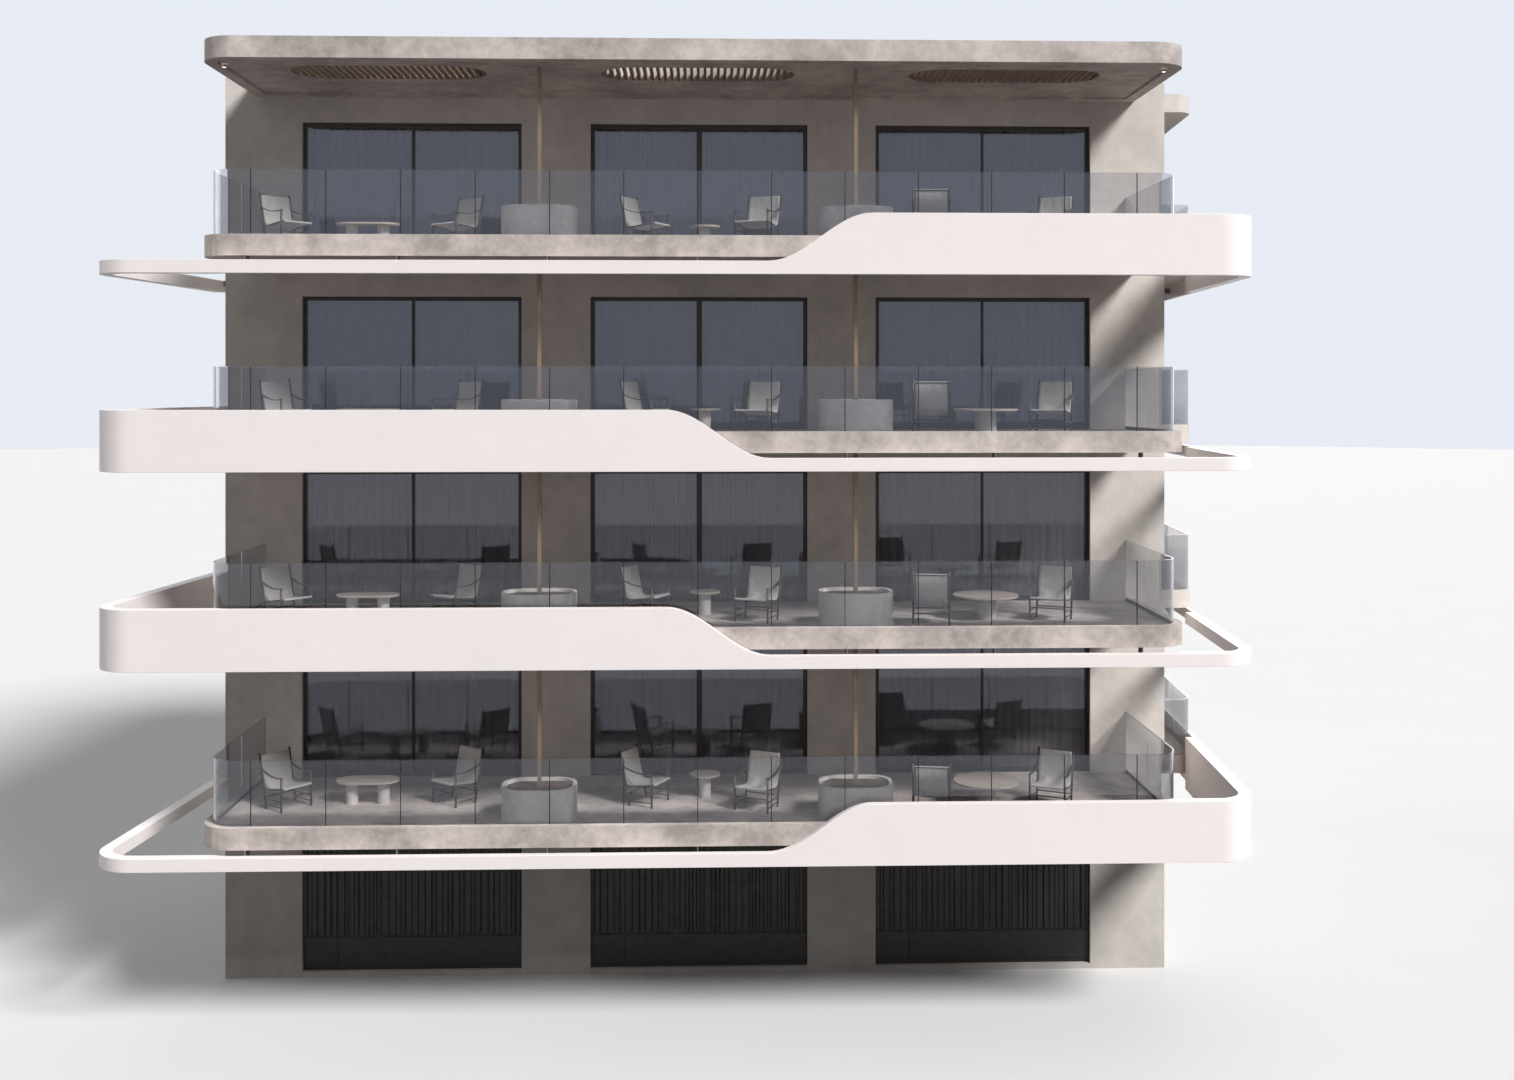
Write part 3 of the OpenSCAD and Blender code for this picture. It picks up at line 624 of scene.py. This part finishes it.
@dataclass(frozen=True)
class Settling:
    """Cloth simulation that lets a pinned sheet find its own folds.

    Attributes:
        frames, quality: Steps of the simulation, and sub-steps in each.
        slack: Share by which the cloth is longer than it was drawn.
        reach: Farthest that a point may move, in metres.
    """

    frames: int = 16
    quality: int = 4
    mass: float = 0.15
    stretch: float = 25.0
    bend: float = 2.0
    slack: float = 0.0
    reach: float = 0.02

    def settle(self, rows: list[list[Vector]], pinned: Callable[[int, int], bool]) -> list[list[Vector]]:
        """Args:
            rows: Rows of the sheet's points.
            pinned: Whether the point of a row and column is held.

        Returns:
            The rows where they came to rest.
        """
        draft, width, scene = Draft(), len(rows[0]), bpy.context.scene
        draft.grid(rows)
        obj = linked("settling", draft.mesh("settling"))
        group = obj.vertex_groups.new(name="held")
        group.add([i for i in range(len(draft.verts)) if pinned(i // width, i % width)], 1.0, "REPLACE")
        cloth = obj.modifiers.new("cloth", "CLOTH")
        settings = cloth.settings
        settings.vertex_group_mass = "held"
        settings.quality = self.quality
        settings.mass = self.mass
        settings.tension_stiffness = settings.compression_stiffness = self.stretch
        settings.bending_stiffness = self.bend
        settings.shrink_min = -self.slack
        cloth.point_cache.frame_start, cloth.point_cache.frame_end = 1, self.frames
        for step in range(1, self.frames + 1):
            scene.frame_set(step)
        settled = obj.evaluated_get(bpy.context.evaluated_depsgraph_get()).to_mesh()
        places = [v.co.copy() for v in settled.vertices]
        bpy.data.objects.remove(obj)
        scene.frame_set(1)
        for i, start in enumerate(draft.verts):
            move = places[i] - start
            if move.length > self.reach:
                places[i] = start + move * (self.reach / move.length)
        return [places[r * width:(r + 1) * width] for r in range(len(rows))]


def smoothing(limit: float = 18.0) -> bpy.types.NodeTree:
    """Makes the node group that shades round sides smooth and keeps edges crisp, once.

    Args:
        limit: Angle in degrees over which an edge stays crisp.

    Returns:
        The node group, for a Geometry Nodes modifier.
    """
    name, kind = "smooth_round_sides", "GeometryNodeSetShadeSmooth"
    if name in bpy.data.node_groups:
        return bpy.data.node_groups[name]
    group = bpy.data.node_groups.new(name, "GeometryNodeTree")
    for way in ("INPUT", "OUTPUT"):
        group.interface.new_socket("Geometry", in_out=way, socket_type="NodeSocketGeometry")
    nodes = Nodes(group)
    smooth = nodes.add(kind, {0: nodes.add("NodeGroupInput").outputs[0]})
    angle = {0: nodes.add("GeometryNodeInputMeshEdgeAngle").outputs[0], 1: math.radians(limit)}
    sharp = nodes.add("FunctionNodeCompare", angle, operation="GREATER_THAN").outputs[0]
    crisp = nodes.add(kind, {0: smooth.outputs[0], "Selection": sharp, "Shade Smooth": False}, domain="EDGE")
    nodes.add("NodeGroupOutput", {0: crisp.outputs[0]})
    return group


def bevelled(obj: Piece, width: float, segments: int = 2, sharp: float = 40.0, weld: float = 0.0001) -> Piece:
    """Rounds the edges of a piece by modifiers alone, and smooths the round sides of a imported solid.

    Args:
        obj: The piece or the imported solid, which is returned.
        width: Width of a rounded edge.
        segments: Faces across it.
        sharp: Angle in degrees over which an edge is rounded.
        weld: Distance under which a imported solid's corners are joined first.
    """
    packed = "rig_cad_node" in obj
    if packed:
        obj.modifiers.new("weld", "WELD").merge_threshold = weld
    bevel = obj.modifiers.new("edges", "BEVEL")
    bevel.width = width
    bevel.segments = segments
    bevel.limit_method = "ANGLE"
    bevel.angle_limit = math.radians(sharp)
    bevel.harden_normals = not packed
    bevel.use_clamp_overlap = True
    if packed:
        obj.modifiers.new("smooth", "NODES").node_group = smoothing()
    return obj


class CadDressing:
    """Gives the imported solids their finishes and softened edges."""

    EDGES: dict[str, float] = {
        "floor_slab": 0.006, "roof_canopy": 0.006, "ribbon": 0.006, "planters": 0.012, "table_tops": 0.006,
        "table_drums": 0.004, "side_balconies": 0.008, "divider_posts": 0.004, "window_frames": 0.002,
        "canopy_slats": 0.003,
    }
    KEPT_SHARP = "ribbon_brackets"

    def build(self) -> list[Piece]:
        """Dresses every node of the record and returns them."""
        slots = {part["node"]: part["material_slot"] for part in frame["record"]["subparts"]}
        for name, obj in frame["nodes"].items():
            look = material(FINISHES[Slot(slots[name])])
            if not obj.material_slots:
                obj.data.materials.append(look)
            for holder in obj.material_slots:
                holder.material = look
            for prefix, width in self.EDGES.items():
                if name.startswith(prefix) and name != self.KEPT_SHARP:
                    bevelled(obj, width)
        return list(frame["nodes"].values())


@dataclass(frozen=True)
class GarageBattens:
    """Upright battens on the upper field of the garage fronts, over a plain lower field.

    Attributes:
        low_top, joint: Height and width of the level joint between the fields.
        panel_w: Width of the fixed panel at the left of each door.
        side, split: Widths left free at the jambs, and on either side of the joint beside the door.
        widths, reliefs, gaps: What each batten and its joint are drawn from.
        plain, backing: Reliefs of the lower field and of the dark backing.
    """

    low_top: float = 0.695
    foot: float = 0.175
    top: float = 2.485
    panel_w: float = 0.62
    joint: float = 0.04
    side: float = 0.008
    split: float = 0.014
    widths: tuple[float, ...] = (0.04, 0.055, 0.075, 0.1)
    reliefs: tuple[float, ...] = (0.016, 0.024, 0.034)
    gaps: tuple[float, ...] = (0.016, 0.022, 0.034)
    narrowest: float = 0.03
    plain: float = 0.012
    backing: float = 0.003
    sunk: float = 0.002
    edge: float = 0.002
    seed: int = 51

    def build(self) -> list[Piece]:
        """Makes the battens of all three fronts, and the dark backing that shows in their joints."""
        rng = random.Random(self.seed)
        face = PLAN.front_y + PLAN.reveal_d
        back, upper, lower = face + self.sunk, self.low_top + self.joint / 2, self.low_top - self.joint / 2
        battens, joints = Draft(), Draft()
        for bay in PLAN.bays():
            left, right = bay - PLAN.bay_w / 2, bay + PLAN.bay_w / 2
            door = left + self.panel_w
            for x0, x1 in ((left + self.side, door - self.split), (door + self.split, right - self.side)):
                x = x0
                while x < x1 - self.narrowest:
                    width = min(rng.choice(self.widths), x1 - x)
                    proud = rng.choice(self.reliefs)
                    battens.box((x, face - proud, upper), (x + width, back, self.top))
                    x += width + rng.choice(self.gaps)
                battens.box((x0, face - self.plain, self.foot), (x1, back, lower))
                joints.box((x0, face - self.backing, self.foot), (x1, back, self.top))
        return [bevelled(battens.piece("garage_battens", Slot.DOOR_METAL), self.edge, 1),
                joints.piece("garage_joints", Slot.DOOR_METAL, finish=SEAL)]


@dataclass(frozen=True)
class WindowHandles:
    """Slim pulls on the sliding leaves, at a height above the floor and beside the middle of each bay."""

    length: float = 0.34
    radius: float = 0.007
    stand: float = 0.03
    bend: float = 0.015
    height: float = 0.95
    beside: float = 0.012
    leaf: float = 0.01

    def build(self) -> list[Piece]:
        """Makes one joined mesh for all the windows."""
        draft, face = Draft(), PLAN.front_y + PLAN.reveal_d + self.leaf
        for low in (floor + self.height for floor in PLAN.floors()):
            high, out = low + self.length, face - self.stand
            for x in (bay + self.beside for bay in PLAN.bays()):
                corners = [Vector((x, y, z)) for y, z in ((face, low), (out, low), (out, high), (face, high))]
                draft.tube(rounded(corners, self.bend), self.radius)
        return [draft.piece("window_handles", Slot.DARK_METAL, smooth=True)]


@dataclass(frozen=True)
class PaneSeals:
    """Dark seals in the joints between the balustrades' front panes.

    Attributes:
        pitch, panes: Width and number of the panes between the bent corner panes.
        face: Place of the seals' outer face along Y, 1 mm in front of the panes.
        size: Width and depth of a seal.
        foot, top: Heights of its ends above the rim.
    """

    pitch: float = 1.17
    panes: int = 12
    face: float = -9.191
    size: tuple[float, float] = (0.014, 0.02)
    foot: float = 0.002
    top: float = 1.026

    def build(self) -> list[Piece]:
        """Makes one joined mesh for all the balconies."""
        draft, (wide, deep) = Draft(), self.size
        for rim in (PLAN.rim_z(n) for n in range(1, PLAN.storeys + 1)):
            low, high = rim + self.foot, rim + self.top
            for x in ((i - self.panes / 2) * self.pitch for i in range(self.panes + 1)):
                draft.box((x - wide / 2, self.face, low), (x + wide / 2, self.face + deep, high))
        return [draft.piece("balustrade_seals", Slot.DARK_METAL, finish=SEAL)]


@dataclass(frozen=True)
class Downlights:
    """Small round lights under the canopy's front corners.

    Attributes:
        ring, lens: Their outlines, as shares of the radius and drops below the soffit.
    """

    places: Pairs = ((-7.62, -8.58), (7.6, -8.68))
    radius: float = 0.042
    ring: Pairs = ((1.0, 0.0), (1.0, 0.012), (0.86, 0.012), (0.8, 0.002))
    lens: Pairs = ((0.84, 0.003), (0.6, 0.011), (0.3, 0.014), (0.01, 0.015))

    def build(self) -> list[Piece]:
        """Makes a ring and a lens for each light."""
        slot = Slot.RAIL_ALUMINIUM
        return [self.turned(self.ring).piece("canopy_downlights", slot),
                self.turned(self.lens).piece("canopy_downlight_lenses", slot, True, LENS)]

    def turned(self, outline: Sequence[tuple[float, float]], sides: int = 24) -> Draft:
        """Returns the sheets that an outline makes when it is turned round each light's middle."""
        draft = Draft()
        for x, y in self.places:
            at = Vector((x, y, PLAN.roof_z))
            rings = [[at + Vector((reach * math.cos(a), reach * math.sin(a), -drop)) for a in turns(sides)]
                     for reach, drop in ((self.radius * share, drop) for share, drop in outline)]
            draft.grid(rings, closed=True)
        return draft


@dataclass(frozen=True)
class Chair:
    """A low chair of round poles, with a sling for seat and back and sagging straps for arms.

    Attributes:
        arm, arm_end: Heights at which the straps meet the front and the rear poles.
        pole, bar: Diameters of the poles and of the rails.
        caps: Shares of a pole's radius, and distances from its end, for the pole and its cap.
        lifts: How far the lower side stretchers lie under the upper ones, and the front and rear ones above.
        thin: Shares of the rails' radius that the side stretchers and the crossbars have.
        slope, fall: How far the back leans and the seat falls, for each metre.
        over: How far the rear poles stand above the sling.
        sag: How far the sling is drawn in between the rails.
        roll, rolled: Distance of the sling from the bars, and rows that wrap round a bar at either end.
        under, behind: Angles in degrees at which it wraps the seat's bar and the head bar.
        crease, play: How far its fold lies before the back, and its side from the poles.
        step, across: Spacing of the sling's rows, and number of its columns.
    """

    width: float = 0.62
    depth: float = 0.68
    height: float = 0.895
    arm: float = 0.575
    arm_end: float = 0.66
    seat: float = 0.39
    pole: float = 0.036
    caps: Pairs = ((1.0, 0.008), (0.8, 0.002))
    bar: float = 0.025
    stretcher: float = 0.17
    lifts: tuple[float, float, float] = (0.09, 0.05, 0.02)
    thin: tuple[float, float] = (0.8, 0.9)
    strap: tuple[float, float] = (0.045, 0.012)
    strap_steps: int = 14
    dip: float = 0.05
    slope: float = 0.21
    fall: float = 0.1
    over: float = 0.05
    sag: float = 0.014
    sling_t: float = 0.008
    roll: float = 0.004
    rolled: int = 4
    under: tuple[float, ...] = (-60, -15, 30, 70)
    behind: tuple[float, ...] = (40, 80, 120, 160)
    crease: float = 0.012
    play: float = 0.001
    bend: float = 0.11
    step: float = 0.035
    across: int = 12
    cloth: Settling = Settling(frames=20, slack=0.03, reach=0.022)

    def back_y(self, z: float) -> float:
        """Returns how far behind the chair's middle the leaning back is at a height."""
        return self.depth / 2 - self.pole / 2 - self.slope * (self.height - z)

    @property
    def front_y(self) -> float:
        """Distance of the front poles from the chair's middle."""
        return -self.depth / 2 + 1.6 * self.pole

    @property
    def seat_bar(self) -> Vector:
        """Middle of the bar at the seat's front edge."""
        return Vector((0, -self.depth / 2 + self.bar, self.seat - self.bar / 2))

    @property
    def head_bar(self) -> Vector:
        """Middle of the bar at the back's top."""
        z = self.height - self.over - self.bar / 2
        return Vector((0, self.back_y(z), z))

    def frame_draft(self) -> Draft:
        """Returns the poles, rails, stretchers and straps of one chair."""
        draft, half, bar = Draft(), self.width / 2 - self.pole / 2, self.bar / 2
        low, front, rear = self.lifts
        beside, between = self.thin
        rear_pole = (self.back_y(0), self.back_y(self.height), self.height)
        for x in (-half, half):
            for y0, y1, top in ((self.front_y, self.front_y, self.arm), rear_pole):
                foot, head = Vector((x, y0, 0)), Vector((x, y1, top))
                rise = (head - foot).normalized()
                for share, short in self.caps:
                    draft.tube([foot, head - rise * short], self.pole / 2 * share)
            rear_end = Vector((x, self.back_y(self.seat), self.seat - bar - self.fall * self.depth))
            draft.tube([self.seat_bar + Vector((x, 0, 0)), rear_end], bar)
            for z in (self.stretcher, self.stretcher - low):
                draft.tube([Vector((x, self.front_y, z)), Vector((x, self.back_y(z), z))], bar * beside)
            draft.grid(self.strap_rings(x), closed=True)
        side = Vector((half, 0, 0))
        for at in (self.seat_bar, self.head_bar, Vector((0, self.front_y, self.stretcher + front)),
                   Vector((0, self.back_y(self.stretcher), self.stretcher + rear))):
            draft.tube([at - side, at + side], bar * between)
        return draft

    def strap_rings(self, x: float) -> list[list[Vector]]:
        """Returns the outline of a sagging strap at steps along it, wrapped round the poles at its ends."""
        wide, thick = self.strap
        start = Vector((x, self.front_y - self.pole / 2, self.arm - thick))
        end = Vector((x, self.back_y(self.arm_end) + self.pole / 2, self.arm_end))
        around = ((-1, -1), (1, -1), (1, 1), (-1, 1))
        outline = [Vector((sx * wide / 2, 0, sz * thick / 2)) for sx, sz in around]
        rings = []
        for t in (i / self.strap_steps for i in range(self.strap_steps + 1)):
            at = start.lerp(end, t) - Vector((0, 0, self.dip * 4 * t * (1 - t)))
            rings.append([at + corner for corner in outline])
        return rings

    def wrapped(self, bar: Vector, angles: Sequence[float]) -> list[Vector]:
        """Returns points of the sling's middle line round a bar, at angles in degrees."""
        roll = self.bar / 2 + self.roll
        return [bar + Vector((0, -roll * math.cos(a), roll * math.sin(a))) for a in map(math.radians, angles)]

    def sling_line(self) -> list[Vector]:
        """Returns the sling's middle line, from under the seat's front bar to behind the back's head bar."""
        roll, fold_z = self.bar / 2 + self.roll, self.seat - self.fall * self.depth
        fold = Vector((0, self.back_y(fold_z) - self.crease, fold_z))
        corners = [self.seat_bar + Vector((0, self.roll, roll)), fold, self.head_bar + Vector((0, -roll, 0))]
        line = rounded(corners, self.bend, 8)
        fine: list[Vector] = []
        for a, b in zip(line, line[1:]):
            parts = max(1, round((b - a).length / self.step))
            fine.extend(a.lerp(b, i / parts) for i in range(parts))
        return [*self.wrapped(self.seat_bar, self.under), *fine, line[-1],
                *self.wrapped(self.head_bar, self.behind)]

    def sling_rows(self) -> list[list[Vector]]:
        """Returns the rows of points of one sling, drawn in a little between the rails."""
        line = self.sling_line()
        half, last = self.width / 2 - self.pole - self.play, len(line) - 1
        sides = [2 * k / self.across - 1 for k in range(self.across + 1)]
        rows = []
        for i, point in enumerate(line):
            ahead = line[min(i + 1, last)] - line[max(i - 1, 0)]
            normal = Vector((0, ahead.z, -ahead.y)).normalized()
            ends = max(0.0, min(1.0, 6 * (min(i, last - i) - self.rolled) / len(line)))
            inward = normal * self.sag * ends
            rows.append([point + Vector((half * s, 0, 0)) + inward * (1 - s ** 2) for s in sides])
        return rows

    def flat_size(self) -> tuple[float, float]:
        """Returns the width and length that the sling was cut to."""
        rows = self.sling_rows()
        middle, row = len(rows[0]) // 2, rows[len(rows) // 2]
        length = sum((b[middle] - a[middle]).length for a, b in zip(rows, rows[1:]))
        width = sum((b - a).length for a, b in zip(row, row[1:]))
        return width, length


@dataclass(frozen=True)
class Seating:
    """All the chairs.

    Attributes:
        chair: The chair that is repeated.
        places: As in the part's source: along X in bays, along Y in balcony depths, and the turn in degrees.
    """

    chair: Chair = Chair()
    places: tuple[tuple[float, float, float], ...] = (
        (-1.338, -0.548, 51), (-0.792, -0.482, -40), (-0.175, -0.526, 64), (0.193, -0.633, -25),
        (0.743, -0.78, 172), (1.148, -0.648, -27))

    def spots(self) -> list[Matrix]:
        """Returns where each chair stands."""
        return [Matrix.Translation((x * PLAN.bay_pitch, PLAN.front_y + y * PLAN.balcony_d, z))
                @ Matrix.Rotation(math.radians(turn), 4, "Z")
                for z in PLAN.floors() for x, y, turn in self.places]

    def build(self) -> list[Piece]:
        """Makes the frames as one mesh and each sling as a sheet of its own."""
        chair, frames, sling = self.chair, Draft(), Draft()
        one, rows = chair.frame_draft(), chair.sling_rows()
        edge, inner = len(rows[0]) - 1, range(chair.rolled, len(rows) - chair.rolled)
        sling.grid(chair.cloth.settle(rows, lambda row, col: col in (0, edge) or row not in inner))
        width, length = chair.flat_size()
        slings = []
        for i, spot in enumerate(self.spots()):
            moved = one.placed(spot)
            frames.add(moved.verts, moved.faces)
            obj = sling.placed(spot).piece(f"chair_sling_{i + 1}", Slot.SLING_CLOTH, smooth=True)
            thick = obj.modifiers.new("thickness", "SOLIDIFY")
            thick.thickness = chair.sling_t
            thick.offset = 0.0
            slings.append(obj)
        tubes = frames.piece("chair_frame_tubes", Slot.CHAIR_METAL, smooth=True)
        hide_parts("chair_frames")
        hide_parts("chair_slings")
        return [tubes, *slings]


@dataclass(frozen=True)
class Curtains:
    """Full-width curtains behind the front windows.

    Attributes:
        swell: Least and greatest share of the depth that a pleat takes.
        columns, rows: Points along and down one curtain.
        narrower: How much narrower than the opening a curtain is.
        below: Depth of the rail below the ceiling, and of the curtain's top below the rail.
        seeds: Seeds of the drawn curtains, which take turns.
    """

    pleats: int = 26
    depth: float = 0.06
    swell: tuple[float, float] = (0.35, 1.0)
    columns: int = 241
    rows: int = 24
    narrower: float = 0.07
    below: tuple[float, float] = (0.035, 0.002)
    hem: float = 0.03
    seeds: tuple[int, ...] = (3, 8, 14)
    cloth: Settling = Settling(reach=0.012)

    def flat_rows(self, width: float, height: float, seed: int) -> list[list[Vector]]:
        """Gathers a curtain into uneven pleats, around its middle.

        Args:
            width: Width of the hung curtain.
            height: Its height.
            seed: Seed of the pleats' unevenness.

        Returns:
            Its points, row by row from the top.
        """
        rng = random.Random(seed)
        swell = [rng.uniform(*self.swell) for _ in range(self.pleats + 1)]
        rows = []
        for drop in (r / (self.rows - 1) for r in range(self.rows)):
            row = []
            for u in (c / (self.columns - 1) for c in range(self.columns)):
                pleat = u * self.pleats
                after = swell[min(self.pleats, int(pleat) + 1)]
                size = swell[int(pleat)] * (1 - pleat % 1) + after * (pleat % 1)
                spread = 0.42 * noise.noise(Vector((u * 6.0, 0.5, seed)))
                drift = 0.3 * noise.noise(Vector((u * 9.0, drop * 1.4, seed)))
                y = self.depth / 2 * size * math.sin(2 * math.pi * (pleat + spread + drift * drop))
                row.append(Vector(((u - 0.5) * width + 0.006 * drift, y, -drop * height)))
            rows.append(row)
        return rows

    def build(self) -> list[Piece]:
        """Hangs one curtain behind each front window."""
        low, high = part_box("curtains")
        middle_y = (low.y + high.y) / 2
        ceiling_gap, rail_gap = self.below
        height = PLAN.ceiling_z(1) - ceiling_gap - rail_gap - PLAN.floor_z(1) - self.hem
        drawn = [self.flat_rows(PLAN.bay_w - self.narrower, height, seed) for seed in self.seeds]
        hung = [self.cloth.settle(rows, lambda row, _: row == 0) for rows in drawn]
        pieces = []
        for n, floor in enumerate(PLAN.floors(), start=1):
            top, turn = floor + self.hem + height, (-1 if n % 2 else 1)
            for b, bay in enumerate(PLAN.bays()):
                rows, draft = hung[(n + b) % len(hung)], Draft()
                arc = sum((q - p).length for p, q in zip(rows[0], rows[0][1:]))
                at = Vector((bay, middle_y, top))
                draft.grid([[at + Vector((turn * p.x, p.y, p.z)) for p in row] for row in rows])
                obj = draft.piece(f"curtain_{n}_{b + 1}", Slot.CURTAIN_CLOTH, smooth=True)
                pieces.append(obj)
        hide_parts("curtains")
        return pieces


@dataclass(frozen=True)
class Soil:
    """Bare soil in the tubs and in the roof's tray.

    Attributes:
        tub_half, tub_r: Half the inner width and depth of a tub, and the radius of its corners.
        level, relief: Height of the soil above the balcony's floor, and of its crumbs.
        tray: Reach of the roof's soil along X and Y, a little into the kerbs.
        tray_level, tray_relief: Height of the roof's soil, and share of the crumbs' height there.
        slot_half, slot_y: Half the width and depth of a canopy slot, and its middle along Y.
    """

    tub_half: tuple[float, float] = (0.54, 0.39)
    tub_r: float = 0.32
    rings: int = 14
    level: float = 0.508
    relief: float = 0.03
    tray: Pairs = ((-7.67, 7.67), (-9.14, -6.18))
    tray_level: float = 15.955
    tray_relief: float = 0.7
    cell: float = 0.07
    slot_half: tuple[float, float] = (1.6, 0.53)
    slot_rim: float = 0.11
    slot_y: float = -7.96

    def outline(self, share: float, count: int = 56) -> list[tuple[float, float]]:
        """Returns points round the tub at a share of the way from its middle."""
        core_w, core_d = (half - self.tub_r for half in self.tub_half)
        points = []
        for cos, sin in ((math.cos(a), math.sin(a)) for a in turns(count)):
            x = math.copysign(core_w, cos) + self.tub_r * cos
            y = math.copysign(core_d, sin) + self.tub_r * sin
            points.append((x * share, y * share))
        return points

    def build(self) -> list[Piece]:
        """Makes the soil of the tubs and of the roof."""
        low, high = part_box("planters")
        middle_y = (low.y + high.y) / 2
        draft = Draft()
        for floor in PLAN.floors():
            for side in (-1, 1):
                at = Vector((side * PLAN.bay_pitch / 2, middle_y, floor + self.level))
                rows = []
                for ring in (k / self.rings + 0.001 for k in range(self.rings, -1, -1)):
                    flat = 1 - 0.6 * ring ** 6
                    rows.append([at + Vector((x, y, self.crumb(x + side * 7, y + floor) * flat))
                                 for x, y in self.outline(ring)])
                draft.grid(rows, closed=True)
        return [draft.piece("tub_soil", Slot.TUB_STONE, True, SOIL),
                self.roof().piece("roof_soil", Slot.CONCRETE, True, SOIL)]

    def roof(self) -> Draft:
        """Returns the soil of the roof's tray, left out round the canopy's slots."""
        draft, (xs, ys) = Draft(), (self.spread(*reach) for reach in self.tray)
        rows = [[(x, y, self.tray_level + self.tray_relief * self.crumb(x, y)) for x in xs] for y in ys]
        middles = [[(start + end) / 2 for start, end in zip(line, line[1:])] for line in (xs, ys)]
        draft.grid(rows, keep=lambda j, i: self.clear_of_slots(middles[0][i], middles[1][j]))
        return draft

    def spread(self, start: float, end: float) -> list[float]:
        """Returns places from start to end, about a cell apart."""
        count = round((end - start) / self.cell)
        return [start + (end - start) * i / count for i in range(count + 1)]

    def clear_of_slots(self, x: float, y: float) -> bool:
        """Returns whether a place on the roof lies outside the rims of the slots."""
        half_w, half_d = self.slot_half
        offs = (max(0.0, abs(x - bay) - (half_w - half_d)) for bay in PLAN.bays())
        return all(math.hypot(off, y - self.slot_y) >= half_d + self.slot_rim / 2 for off in offs)

    def crumb(self, x: float, y: float) -> float:
        """Returns the height of the soil's surface at a place."""
        lumps, grains = noise.noise(Vector((x * 3, y * 3, 0))), noise.noise(Vector((x * 11, y * 11, 4)))
        return self.relief * (0.6 * lumps + 0.5 * grains)


@dataclass(frozen=True)
class Stage:
    """Floor, light and camera.

    Attributes:
        ground, reach: Finish and radius of the floor.
        lamps: Name, turn in degrees, strength and spread of each lamp, and whether its light passes glass.
        ambient, strength: Colour and strength of the light from all round.
        backdrop: What the camera, glass and metal see behind the block.
        eye, pan: Where the camera stands, and its turn to the right in radians.
        photo: The photograph's width, the focal length, and the horizon's row less the middle row, in pixels.
    """

    ground: Ground = Ground("stage_floor", (0.7, 0.695, 0.69), 0.85, thrown=0.13)
    reach: float = 260.0
    lamps: tuple[tuple[str, tuple[int, int, int], float, float, bool], ...] = (
        ("key", (50, 0, 45), 4.45, 16.0, True),
        ("rear", (74, 0, 165), 1.1, 40.0, False),
        ("side", (74, 0, -98), 0.9, 40.0, True),
    )
    ambient: Colour = (0.93, 0.96, 1.0)
    strength: float = 0.2
    backdrop: Colour = (0.8, 0.84, 0.91)
    eye: tuple[float, float, float] = (0.2007, -33.519, 10.492)
    pan: float = 0.03036
    photo: tuple[float, float, float] = (1514, 1534, 387.7 - 540)

    def build(self) -> list[Piece]:
        """Sets the stage up and returns its floor."""
        floor = self.floor()
        self.world()
        for name, turn, strength, spread, through_glass in self.lamps:
            lamp = bpy.data.lights.new(name, "SUN")
            lamp.energy = strength
            lamp.angle = math.radians(spread)
            obj = linked(name, lamp)
            obj.rotation_euler = [math.radians(v) for v in turn]
            obj.visible_transmission = through_glass
        self.camera()
        bpy.context.scene.view_settings.view_transform = "Standard"
        return [floor]

    def floor(self, sides: int = 96) -> Piece:
        """Lays a wide pale floor and returns it."""
        draft = Draft()
        rim = [(self.reach * math.cos(a), self.reach * math.sin(a), 0.0) for a in turns(sides)]
        draft.add(rim, [range(sides)])
        mesh = draft.mesh("floor")
        mesh.materials.append(material(self.ground))
        obj = linked("floor", mesh)
        return obj

    def world(self) -> None:
        """Lights the block evenly from all round, with a pale backdrop for the camera, glass and metal."""
        world = bpy.data.worlds.new("studio")
        bpy.context.scene.world = world
        world.use_nodes = True
        nodes = Nodes(world.node_tree)
        nodes.tree.nodes.clear()
        ambient = nodes.add("ShaderNodeBackground", {"Color": self.ambient, "Strength": self.strength})
        backdrop = nodes.add("ShaderNodeBackground", {"Color": self.backdrop})
        shown = {0: nodes.looked_at(), 1: ambient.outputs[0], 2: backdrop.outputs[0]}
        nodes.add("ShaderNodeOutputWorld", {"Surface": nodes.add("ShaderNodeMixShader", shown).outputs[0]})

    def camera(self, sensor: float = 36.0, far: float = 600.0) -> None:
        """Places the camera where the photograph was taken from."""
        width, focal, sunk = self.photo
        data = bpy.data.cameras.new("camera")
        data.sensor_width = sensor
        data.lens = sensor * focal / width
        data.shift_y = sunk / width
        data.clip_end = far
        obj = linked("camera", data)
        obj.location = self.eye
        obj.rotation_euler = (math.radians(90), 0.0, -self.pan)
        bpy.context.scene.camera = obj


def main() -> None:
    """Builds the classes in order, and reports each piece."""
    logging.basicConfig(level=logging.INFO)
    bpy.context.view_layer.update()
    parts = (Stage(), CadDressing(), GarageBattens(), WindowHandles(), PaneSeals(), Downlights(), Seating(),
             Curtains(), Soil())
    for part in parts:
        for piece in part.build():
            log.info("%s: %s, %d faces", type(part).__name__, piece.name, len(piece.data.polygons))


if __name__ == "__main__":
    main()
